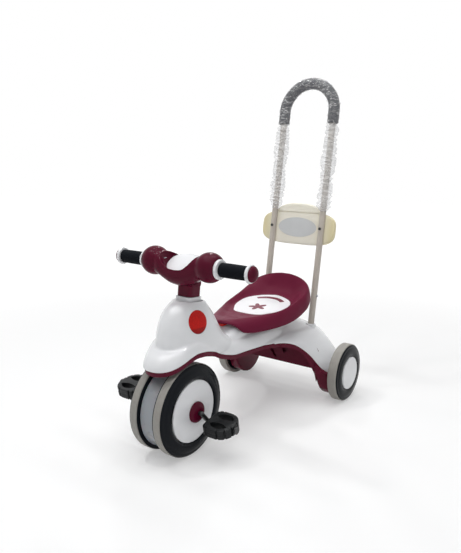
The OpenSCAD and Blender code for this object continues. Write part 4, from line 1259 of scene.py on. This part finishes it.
    def dress(self) -> None:
        """Adds the inlay with a plain star and arc."""
        front, back = self.inlay[0][0], self.inlay[-1][0]
        places = front + (back - front) * (1 - np.cos(np.linspace(0, math.pi, 60))) / 2
        width = smooth_table(self.inlay, places)[:, 0]
        left, right = (xyz(side * width, places) for side in SIDE_WORD)
        outline = np.concatenate([left, right[::-1]])
        settle(self.patch("inlay_skin", outline, self.inlay_lift, 24), "seat", INLAY_WHITE, "seat_inlay")
        a = angles(60)
        star_y, arc_y, points = 357, 380, 5
        reach = 19 + 8 * np.cos(points * a)
        star = xyz(reach * np.sin(a), star_y - reach * np.cos(a))
        settle(self.patch("inlay_star", star, self.print_lift, 8), "seat", PRINT_RED)
        b = np.linspace(-0.8, 0.8, 30)
        outer, inner = (xyz(r * np.sin(b), arc_y + r * np.cos(b)) for r in (66, 53))
        settle(self.ribbon("inlay_arc", outer, inner), "seat", PRINT_RED)

    def latch(self) -> None:
        """Makes the red tab under the saddle's nose."""
        corners = [(-11, 174), (11, 174), (11, 214), (-11, 214)]
        tab = slab("latch_tab", rounded(corners, 4), 278, 284, np.asarray, 1.2)
        shade(tab, 40)
        settle(tab, "latch", LATCH_RED, "seat_latch")

    def leaf(self) -> None:
        """Makes the hinge's leaf with a round knuckle about its pin."""
        y, z, knuckle, bore, tall, half_thick, half_wide = 470, 292, 5.6, 3.2, 12, 4, 23.4
        half_turn = np.linspace(math.pi, 2 * math.pi, 18)
        foot = [(y + knuckle * math.cos(t), z + knuckle * math.sin(t)) for t in half_turn]
        outline = foot + [(y + half_thick, z + tall), (y - half_thick, z + tall)]
        leaf = slab("hinge_leaf_skin", outline, -half_wide, half_wide, side_view, 0.4)
        cut(leaf, slab("pin_room", circle(bore, 32, y, z), -30, 30, side_view))
        shade(leaf, 40)
        settle(leaf, "seat", STEEL, "hinge_leaf")

    def build(self) -> None:
        """Makes the saddle and what sits on it."""
        self.shell()
        self.dress()
        self.latch()
        self.leaf()


@dataclass
class Steering:
    """Handlebar housing with its two bulbs, white panel, grips and end caps."""

    y: float = 24.0
    z: float = 465.0
    bulb: float = 36.0
    bulb_x: float = 84.0
    end: float = 109.0
    half: float = 200.0
    panel_y: float = 36.0
    panel_z: float = 468.0
    panel_tilt: float = math.radians(32)
    panel_half: float = 50.0
    panel_front: float = 39.0
    panel_back: float = 33.0
    panel_power: float = 2.3
    # distance from the middle, the section's middle and its half sizes
    belly: tuple = ((0, 33, 449, 40, 37), (22, 32, 451, 39, 36), (40, 29, 456, 36, 33), (54, 26, 461, 33, 30),
                    (66, 24.5, 464, 29, 28), (80, 24, 466, 25, 25))

    def on_panel(self, points: np.ndarray) -> np.ndarray:
        """Stands points on the slanted panel's plane."""
        p = np.asarray(points, dtype=float)
        c, s = math.cos(self.panel_tilt), math.sin(self.panel_tilt)
        return xyz(p[..., 0], self.panel_y + p[..., 1] * c - p[..., 2] * s,
                   self.panel_z + p[..., 1] * s + p[..., 2] * c)

    def panel_ring(self, shrink: float, height: float, share: float = 1.0) -> np.ndarray:
        """Gives a ring of the panel, with a round front and a straighter back.

        Args:
            shrink: distance inside the full outline.
            height: height over the panel's plane.
            share: size of the ring as a share of that outline.

        Returns:
            The ring's points.
        """
        a = angles(80)
        x = (self.panel_half - shrink) * power(np.cos(a), 2 / self.panel_power)
        y = power(np.sin(a), 2 / self.panel_power)
        y = np.where(y < 0, y * (self.panel_front - shrink), y * (self.panel_back - shrink))
        return self.on_panel(xyz(x * share, y * share, height))

    def housing(self) -> None:
        """Melts bulbs and belly together and sinks the panel's seat."""
        places = np.linspace(-80, 80, 45)
        a = -angles(56)
        belly = [xyz(x, y + ry * power(np.cos(a), 2 / 2.5), z + rz * power(np.sin(a), 2 / 2.5))
                 for x, (y, z, ry, rz) in zip(places, smooth_table(self.belly, np.abs(places)))]
        parts = [loft("belly", belly)]
        arc = np.linspace(0.05, math.pi - 0.05, 40)
        along = np.minimum(self.bulb * np.cos(arc), self.end - self.bulb_x)
        radii = self.bulb * np.sin(arc)
        for side in SIDE_WORD:
            ball = [xyz(side * (self.bulb_x + x), self.y + r * np.cos(a), self.z + 1 + r * np.sin(a))
                    for x, r in zip(along, radii)]
            parts.append(loft("bulb", ball))
        collar = [on_neck(xyz(26 * power(np.cos(a), 2 / 3), 25 * power(np.sin(a), 2 / 3), h))
                  for h in (26, 30, 60)]
        parts.append(loft("stem_collar", collar))
        piece = join("bar_housing_skin", parts)
        melt(piece, 1.7)
        smooth(piece, 5)
        flare = ((0, -3.5), (0, 1.5), (-1.5, 6), (-3, 13), (-4, 22), (-6, 60))
        cut(piece, loft("panel_room", [self.panel_ring(shrink, h) for shrink, h in flare]))
        melt(piece, 1.5)
        smooth(piece, 6)
        shade(piece, 60)
        settle(piece, "steering", HOUSING_RED, "bar_housing")

    def panel(self) -> None:
        """Makes the crowned white panel."""
        rim = ((0.6, -3.2), (0.5, -0.8), (0.9, 0.2), (2.0, 1.0), (4, 1.6))
        inset, height = rim[-1]
        rings = [self.panel_ring(shrink, h) for shrink, h in rim]
        rings += [self.panel_ring(inset, height + 2.6 * (1 - share**2), share)
                  for share in np.linspace(0.85, 0.02, 12)]
        piece = loft("bar_panel_skin", rings)
        shade(piece, 40)
        settle(piece, "steering", WHITE, "bar_panel")

    def ends(self) -> None:
        """Makes rings, foam grips, flanges and dome caps on both sides."""
        half, end = self.half, self.end
        ring = rounded([(11, end - 1), (22, end - 1), (23.5, end + 1), (23.5, end + 8), (11, end + 8)], 2.5)
        grip = rounded([(11, end + 8.2), (16.6, end + 8.2), (17, end + 30), (16.8, half - 30),
                        (16.2, half - 8.2), (11, half - 8.2)], 2.2)
        flange = rounded([(11, half - 8), (20, half - 8), (21.5, half - 6), (21.5, half - 2), (20, half),
                          (11, half)], 1.6)
        dome = [(0, half + 0.2), (18.3, half + 0.2)]
        dome += [(18.5 * math.cos(t), half + 1 + 11 * math.sin(t)) for t in np.linspace(0, math.pi / 2, 16)]
        for kind, profile, finish in (("bar_ring", ring, WHITE), ("grip", grip, GRIP_FOAM),
                                      ("flange", flange, WHITE), ("bar_cap", dome, HOUSING_RED)):
            turned_pair(kind, profile, self.y, self.z, 72, finish, "steering", "steering")

    def drum(self) -> None:
        """Makes the cloudy drum between the wheel's discs, with a soft hollow round its middle."""
        half, wall, bore, rim = 21.4, 2.4, 24, 100
        outer = [(105 - 2.2 * (1 - (x / 21.5) ** 4), float(x)) for x in np.linspace(-half, half, 25)]
        inside = half - wall
        hollow = [(bore, inside), (rim - 2, inside), (rim - 2, -inside), (bore, -inside)]
        profile = [(bore, -half), (rim, -half)] + outer + [(rim, half), (bore, half)] + hollow
        piece = turn("wheel_drum_skin", profile, 0, FRONT_R, 128)
        cut(piece, rod(11.4, -300, -180, on_neck))
        shade(piece, 40)
        settle(piece, "steering", DRUM_GREY, "wheel_drum")

    def build(self) -> None:
        """Makes all steering pieces."""
        self.housing()
        self.panel()
        self.ends()
        self.drum()


@dataclass
class FrontWheel:
    """Double front wheel: black discs, grey treads, white caps and burgundy domes."""

    half: float = 56.0
    inner: float = 23.0
    radius: float = FRONT_R

    def build(self) -> None:
        """Turns the left pieces and mirrors them."""
        x, i = self.half, self.inner
        disc = [(5.6, i), (5.6, x - 9), (77, x - 9), (77.6, x - 6), (78.6, x - 2.6), (80.6, x - 0.6),
                (84, x + 0.6), (90, x + 0.4), (96, x - 0.8), (101, x - 2.4), (105.4, x - 4.6),
                (106.4, x - 4.5), (107.6, x - 4.7), (110, x - 5.6), (112.4, x - 7), (113.6, x - 8.6),
                (113.4, x - 9.2), (104, x - 9.2), (104, i + 2.4), (113.4, i + 2.2), (113.8, i + 1.4),
                (113.2, i + 0.4), (112, i), (94, i), (92, i + 10), (34, i + 10), (30, i)]
        tread = rounded([(104, i + 2.6), (104, x - 9.2), (113.4, x - 9.2), (115, x - 11.4), (115, x - 20.6),
                         (114.6, x - 21), (114.6, x - 21.6), (115, x - 22), (115, i + 4),
                         (113.6, i + 2.6)], 0.8, 3)
        cap = [(5.6, x - 9), (76.8, x - 9), (76.8, x - 2.6), (76.2, x - 1.4), (74.6, x - 0.8), (60, x + 1.4),
               (45, x + 3.2), (30, x + 4.6), (5.6, x + 4.8)]
        dome = [(5.8, x + 4.9), (26, x + 4.9), (26, x + 6)]
        dome += [(5.8 + 20.2 * math.cos(t) ** 0.66, x + 6 + 9.5 * math.sin(t) ** 0.8)
                 for t in np.linspace(0.08, 1.57, 18)]
        shapes = {"disc": (disc, SIDEWALL), "tread": (tread, TREAD_GREY), "front_cap": (cap, WHITE),
                  "dome": (dome, HOUSING_RED)}
        for kind, (profile, finish) in shapes.items():
            turned_pair(kind, profile, 0, self.radius, 128, finish, "front_wheel", "front_wheel")


@dataclass
class Pedal:
    """Pedal with a straight inner side, wide tread blocks all round and two curved windows."""

    length: float = 74.0
    width: float = 80.0
    thick: float = 25.0
    inner: float = 83.0
    tilt: float = math.radians(10)
    teeth: int = 12
    throw: float = 40.0
    back: float = math.radians(42)

    def place(self, side: int) -> Place:
        """Gives the way from the pedal's own frame to the trike."""
        spindle = [side * (self.inner + self.length / 2), side * self.throw * math.sin(self.back),
                   FRONT_R - side * self.throw * math.cos(self.back)]

        def put(points: np.ndarray) -> np.ndarray:
            p = np.asarray(points, dtype=float)
            c, s = math.cos(self.tilt), math.sin(self.tilt)
            y, z = p[..., 1], p[..., 2]
            return xyz(side * p[..., 0], y * c - z * s, y * s + z * c) + spindle
        return put

    def ring(self, share: float, tooth: float) -> np.ndarray:
        """Outline of the pedal with its teeth."""
        a = angles(self.teeth * 16)
        phase = np.cos(a * self.teeth)
        notch = tooth / (1 + np.exp((phase + 0.86) * 40))
        reach = share - notch / 36
        bend = np.where(np.cos(a) < 0, 2 / 5, 2 / 2.2)
        return xyz(self.length / 2 * power(np.cos(a), bend) * reach,
                   self.width / 2 * power(np.sin(a), bend) * reach)

    def build(self) -> None:
        """Makes both pedals."""
        h = self.thick / 2
        # share of the outline, height and depth of the teeth, from the middle up
        lit_cells = [(0.985, 1.8, 3.2), (1.0, 2.6, 3.6), (1.0, h - 2.2, 3.6), (0.975, h - 0.7, 2.6),
                 (0.93, h, 1.6)]
        stations = [(share, -z, tooth) for share, z, tooth in reversed(lit_cells)] + lit_cells
        start, end = self.inner - 9, self.inner + self.length + 9
        bore = [(0, start), (5.6, start), (5.6, end), (0, end)]
        # half sizes of a window's outer curve, and half width, bow and end of the bar between the windows
        reach_x, reach_y, bar, bow, bar_end = 29, 29.5, 8.5, 6, 22
        sweep = np.linspace(math.radians(35), math.radians(150), 24)
        for side, word in SIDE_WORD.items():
            put = self.place(side)
            piece = loft(f"{word}_pedal_skin", [put(lifted(self.ring(s, t), z)) for s, z, t in stations])
            for across in (-1, 1):
                outer = [(reach_x * math.cos(t), across * reach_y * math.sin(t)) for t in sweep]
                inner = [(x, across * (bar + bow * (x / bar_end) ** 2)) for x in np.linspace(-25, bar_end, 16)]
                window = rounded((outer + inner)[::across], 2, 3)
                cut(piece, slab("window", window, -40, 40, put))
            hole = turn("spindle_room", bore, *put(np.zeros(3))[1:], 40)
            if side < 0:
                flip = mirrored(hole, "spindle_room_right")
                bpy.data.objects.remove(hole)
                hole = flip
            cut(piece, hole)
            shade(piece, 30)
            settle(piece, f"{word}_pedal_body", PEDAL_BLACK, f"{word}_pedal")


@dataclass
class RearWheels:
    """Rear wheels: black rims, grey treads and white caps."""

    outer: float = 220.0
    inner: float = 184.0
    radius: float = REAR_R

    def build(self) -> None:
        """Turns the left wheel and mirrors it."""
        x, i = self.outer, self.inner
        rim = [(5.1, i), (5.1, x - 12), (18, x - 12), (18, x - 6), (48.5, x - 6), (50.4, x - 5.4),
               (53, x - 4.2), (57, x - 3.2), (62, x - 2.9), (68, x - 3.6), (73, x - 4.8),
               (76.6, x - 6.1), (77.6, x - 5.9), (78.8, x - 6), (81.2, x - 6.8), (83.2, x - 8.4),
               (83.4, x - 9.2), (75.5, x - 9.2), (75.5, i), (67, i), (65, i + 8), (22, i + 8), (18, i)]
        tread = rounded([(75.5, i), (75.5, x - 9.2), (84, x - 9.2), (85.5, x - 11.2), (85.5, x - 20.6),
                         (85.1, x - 21), (85.1, x - 21.6), (85.5, x - 22), (85.5, i + 2), (84, i)], 0.8, 3)
        cap = [(0, x - 5.8), (48.4, x - 5.8), (48.4, x - 3.2), (47.6, x - 1.9), (46, x - 1.2), (40, x - 0.7),
               (25, x - 0.2), (0, x)]
        shapes = {"rim": (rim, SIDEWALL), "rear_tread": (tread, TREAD_GREY), "rear_cap": (cap, WHITE)}
        for kind, (profile, finish) in shapes.items():
            turned_pair(kind, profile, WHEELBASE, self.radius, 112, finish,
                        "left_rear_wheel", "right_rear_wheel")


@dataclass
class PushHandle:
    """Foam bend, crumpled film, cream plate and sockets of the push handle."""

    foam: float = 16.5
    bore: float = 9.6
    tail: float = 37.0
    plate_half: float = 127.0
    plate_power: float = 3.6
    crown_half: float = 78.0
    crown_rise: float = 27.0

    @staticmethod
    def waves(rng: np.random.Generator, count: int, rate: tuple, turns: int, weight: tuple) -> list[tuple]:
        """Draws waves of rate, turns round the leg, start and weight.

        Args:
            rng: source of the draws.
            count: number of waves.
            rate: least and greatest rate along the leg.
            turns: most turns either way.
            weight: least and greatest weight.

        Returns:
            The waves.
        """
        return [(rng.uniform(*rate), rng.integers(-turns, turns + 1), rng.uniform(0, 6.28),
                 rng.uniform(*weight)) for _ in range(count)]

    @staticmethod
    def folds(waves: Sequence[tuple], along: float, a: np.ndarray) -> np.ndarray:
        """Adds up the waves at a distance along the leg and at angles round it."""
        return sum(w * np.sin(f * along + n * a + p) for f, n, p, w in waves)

    def hoop_rings(self, radius: Callable[[float, np.ndarray], np.ndarray], start: float, count: int,
                   sides: int) -> np.ndarray:
        """Lays rings along the bend and its straight tails.

        Args:
            radius: gives the radius at a distance along the path and at angles round it.
            start: length of the straight tails.
            count: number of rings.
            sides: points on each ring.

        Returns:
            Rings in millimetres of the trike.
        """
        total = 2 * start + math.pi * LEG_HALF
        a = angles(sides)
        round_out, round_back = np.cos(a)[:, None], np.sin(a)[:, None] * np.array([0, 1.0, 0])
        rings = []
        for d in np.linspace(0, total, count):
            if d < start:
                spot, out = np.array([LEG_HALF, 0, BEND_S - start + d]), np.array([1.0, 0, 0])
            elif d > total - start:
                spot, out = np.array([-LEG_HALF, 0, BEND_S - (d - total + start)]), np.array([-1.0, 0, 0])
            else:
                t = (d - start) / LEG_HALF
                out = np.array([math.cos(t), 0, math.sin(t)])
                spot = np.array([0, 0, BEND_S]) + out * LEG_HALF
            r = radius(d, a)[:, None]
            rings.append(on_handle(spot + r * (round_out * out + round_back)))
        return np.array(rings)

    def grip(self) -> None:
        """Makes the foam sleeve with rounded, open ends and slight swells."""
        total = 2 * self.tail + math.pi * LEG_HALF

        def outside(d: float, a: np.ndarray) -> np.ndarray:
            end = min(d, total - d)
            curve = 1 - 0.16 * max(0.0, 1 - end / 4) ** 2
            return self.foam * curve + 0.25 * np.sin(d * 0.09 + 2 * np.cos(a))

        def inside(_: float, a: np.ndarray) -> np.ndarray:
            return np.full(len(a), self.bore)
        outer, inner = (self.hoop_rings(radius, self.tail, 170, 40) for radius in (outside, inside))
        piece = loft("hoop_grip_skin", np.concatenate([outer, inner[::-1], outer[:1]]), caps=False)
        shade(piece, 40)
        settle(piece, "trike_body", FOAM_GREY, "hoop_grip")

    def film_sleeve(self, side: int, word: str) -> None:
        """Makes the crumpled film round one leg."""
        rng = np.random.default_rng(7 + side)
        start, end = PLATE_S + PLATE_H + 4, BEND_S - self.tail - 1
        rows, sides = 210, 46
        tied, loose, pinch, sway = 10.2, 12.0, 4.6, 2.2
        a = angles(sides)
        waves = self.waves(rng, 26, (0.05, 0.42), 3, (0.25, 1.0))
        rings = []
        for s in np.linspace(start, end, rows):
            ridge = np.abs(self.folds(waves, s - start, a)) / 3.4
            near_end = min(1.0, (s - start) / 16, (end - s) / 12)
            puff = loose - pinch * np.clip(ridge, 0, 1.8) + sway * np.sin(0.05 * s + 2 * a + side)
            r = np.clip(tied + near_end * puff, 9.9, 25)
            rings.append(on_handle(lifted(circle(r, sides, side * LEG_HALF), s)))
        piece = loft(f"{word}_wrap_skin", rings, caps=False)
        shade(piece, 70)
        settle(piece, "trike_body", FILM, f"{word}_wrap")

    def grip_film(self) -> None:
        """Makes the thin film stretched round the foam bend."""
        rng = np.random.default_rng(23)
        waves = self.waves(rng, 20, (0.08, 0.5), 4, (0.2, 0.7))

        def outside(d: float, a: np.ndarray) -> np.ndarray:
            return 18.1 + 1.1 * np.clip(self.folds(waves, d, a) / 2.5, -1, 1.6)
        piece = loft("grip_film", self.hoop_rings(outside, self.tail + 6, 220, 44), caps=False)
        shade(piece, 70)
        settle(piece, "trike_body", GRIP_FILM)

    def plate_outline(self, shrink: float) -> np.ndarray:
        """Outline of the plate with its crown."""
        a = angles(160)
        x = (self.plate_half - shrink) * power(np.cos(a), 2 / self.plate_power)
        y = (PLATE_H / 2 - shrink) * power(np.sin(a), 2 / self.plate_power)
        crown = self.crown_rise * np.sqrt(np.clip(1 - (x / self.crown_half) ** 2, 0, 1))
        return xyz(x, PLATE_S + PLATE_H / 2 + np.where(y > 0, y + crown, y))

    def plate(self) -> None:
        """Makes the rounded cream plate with grooves for the legs."""
        def stand(shrink: float, depth: float) -> np.ndarray:
            flat = self.plate_outline(shrink)
            return on_handle(xyz(flat[:, 0], depth, flat[:, 1]))
        stations = ((7, 2.0), (2.6, 2.6), (0.7, 4.4), (0, 7), (0, 11), (0.7, 13.6), (2.6, 15.4), (7, 16))
        piece = loft("handle_plate_skin", [stand(s, d) for s, d in stations])
        cut(piece, *[rod(9.7, 150, 500, on_handle, side * LEG_HALF) for side in SIDE_WORD])
        crown_foot = PLATE_S + 97
        strip = [(-74, 0.5), (74, 0.5), (74, 5), (-74, 5)]
        cut(piece, slab("crown_line", strip, crown_foot, crown_foot + 3, on_handle))
        shade(piece, 40)
        settle(piece, "trike_body", CREAM, "handle_plate")

    def sockets(self) -> None:
        """Makes the flared white sockets at the feet."""
        stations = ((12.0, -46), (14, -44), (14, -16), (15.2, -8), (15.6, -3), (15.2, -0.8), (13.6, 0),
                    (9.8, 0), (9.6, -1), (9.6, -40), (0.5, -40))
        for side, word in SIDE_WORD.items():
            rings = [on_handle(lifted(circle(r, 56, side * LEG_HALF), s)) for r, s in stations]
            piece = loft(f"{word}_socket_skin", rings)
            shade(piece, 35)
            settle(piece, "trike_body", WHITE, f"{word}_socket")

    def build(self) -> None:
        """Makes all pieces of the push handle."""
        self.grip()
        for side, word in SIDE_WORD.items():
            self.film_sleeve(side, word)
        self.grip_film()
        self.plate()
        self.sockets()


@dataclass
class Studio:
    """Camera, floor and light of the photo."""

    azimuth: float = math.radians(35.68)
    elevation: float = math.radians(11.63)
    roll: float = math.radians(0.41)
    distance: float = 1551.59
    focal_px: float = 582.94
    height_px: float = 553.0
    aim: tuple = (0.0, 221.89, 402.78)
    sensor: float = 36.0
    # where the floor's own colour starts and stops fading to white, in metres, and the share of white near by
    fade_start: float = 0.7
    fade_end: float = 2.4
    near_white: float = 0.32
    floor_glow: float = 1.1
    ambient: float = 0.26
    ceiling_watts: float = 2.7

    def camera(self) -> None:
        """Places the camera found from the photo."""
        ca, sa = math.cos(self.azimuth), math.sin(self.azimuth)
        ce, se = math.cos(self.elevation), math.sin(self.elevation)
        back = np.array([sa * ce, -ca * ce, se])
        right = np.array([ca, sa, 0.0])
        up = np.cross(back, right)
        cr, sr = math.cos(self.roll), math.sin(self.roll)
        right, up = cr * right + sr * up, -sr * right + cr * up
        place = metres(np.array(self.aim) + back * self.distance)
        data = bpy.data.cameras.new("camera")
        data.sensor_width = self.sensor
        data.lens = self.focal_px * self.sensor / self.height_px
        data.clip_end = 50
        camera = bpy.data.objects.new("camera", data)
        bpy.context.scene.collection.objects.link(camera)
        matrix = Matrix((right, up, back)).transposed().to_4x4()
        matrix.translation = Vector(place)
        camera.matrix_world = matrix
        bpy.context.scene.camera = camera

    def seen_rays(self, tree: Tree) -> Socket:
        """Gives 1 for rays from the camera, a glossy face or a clear piece, and 0 for the others."""
        ray = tree.node("LightPath").outputs
        straight = tree.math("MAXIMUM", ray["Is Camera Ray"], ray["Is Transmission Ray"])
        return tree.math("MAXIMUM", straight, ray["Is Glossy Ray"])

    def floor(self) -> None:
        """Lays a pale floor that keeps soft shadows near the trike and fades to white farther off."""
        clear_selection()
        bpy.ops.mesh.primitive_plane_add(size=16, location=(0, 0, 0))
        floor = bpy.context.active_object
        name_piece(floor, "floor")
        look = bpy.data.materials.new("floor_paper")
        tree = Tree(look)
        away = tree.node("VectorMath")
        away.operation = "LENGTH"
        tree.feed(away.inputs[0], tree.node("TexCoord").outputs["Object"])
        fade = tree.node("MapRange", From_Min=self.fade_start, From_Max=self.fade_end, To_Min=self.near_white,
                         To_Max=1.0, Value=away.outputs["Value"])
        fade.interpolation_type = "SMOOTHSTEP"
        share = tree.math("MULTIPLY", fade.outputs["Result"], self.seen_rays(tree))
        paper = tree.node("BsdfDiffuse", Color=(0.97, 0.97, 0.97, 1))
        glow = tree.node("Emission", Color=(1, 1, 1, 1), Strength=self.floor_glow)
        both = tree.blend(share, paper.outputs["BSDF"], glow.outputs["Emission"])
        tree.node("OutputMaterial", Surface=both)
        floor.data.materials.append(look)

    def world(self) -> None:
        """Makes a white surround, seen white and lighting softly."""
        world = bpy.data.worlds.new("surround")
        bpy.context.scene.world = world
        tree = Tree(world)
        soft = tree.node("Background", Color=(0.97, 0.98, 1.0, 1), Strength=self.ambient)
        seen = tree.node("Background", Color=(1, 1, 1, 1), Strength=1.0)
        both = tree.blend(self.seen_rays(tree), soft.outputs["Background"], seen.outputs["Background"])
        tree.node("OutputWorld", Surface=both)

    def lamp(self, name: str, place: tuple, size: float, watts: float, aim: tuple = (0, 0.0, 0.35)) -> None:
        """Hangs one soft square lamp.

        Args:
            name: name of the lamp.
            place: where it hangs, in metres.
            size: its width and height in metres.
            watts: its power.
            aim: point that it faces.
        """
        data = bpy.data.lights.new(name, "AREA")
        data.shape = "RECTANGLE"
        data.size, data.size_y = size, size
        data.energy = watts
        lamp = bpy.data.objects.new(name, data)
        bpy.context.scene.collection.objects.link(lamp)
        lamp.location = place
        lamp.rotation_euler = (Vector(aim) - Vector(place)).to_track_quat("-Z", "Y").to_euler()

    def lights(self) -> None:
        """Hangs a broad lamp overhead, weaker ones round it and rows of small ceiling lamps."""
        self.lamp("overhead", (0.3, -0.4, 3.0), 2.6, 10)
        self.lamp("left_key", (-1.2, -0.85, 2.9), 0.22, 12)
        self.lamp("back_key", (-1.2, 1.7, 2.4), 0.22, 9)
        self.lamp("side", (2.4, -1.6, 1.5), 1.6, 4)
        for i in range(4):
            for j in range(5):
                place = (-0.95 + 0.66 * i, -1.7 + 0.7 * j, 2.9)
                self.lamp(f"ceiling_{i}_{j}", place, 0.1, self.ceiling_watts, (place[0], place[1], 0))

    def build(self) -> None:
        """Sets up the studio."""
        view = bpy.context.scene.view_settings
        view.view_transform = "Standard"
        self.camera()
        self.floor()
        self.world()
        self.lights()


def paint_nodes() -> None:
    """Gives every CAD node the finish of its slot."""
    slots = {part["node"]: part["material_slot"] for part in FRAME["record"]["subparts"]}
    for name, node in FRAME["nodes"].items():
        finish = CRANK_BLACK if name in BLACK_NODES else SLOT_FINISH[slots[name]]
        if not node.material_slots:
            continue
        for place in node.material_slots:
            place.material = finish.material()
        LOG.info("%s is painted with %s", name, finish.name)


def main() -> None:
    """Paints the CAD nodes and builds every piece and the studio."""
    logging.basicConfig(level=logging.INFO, format="%(name)s: %(message)s")
    paint_nodes()
    for part in (Shell, Reflector, Saddle, Steering, FrontWheel, Pedal, RearWheels, PushHandle, Studio):
        part().build()


if __name__ == "__main__":
    main()
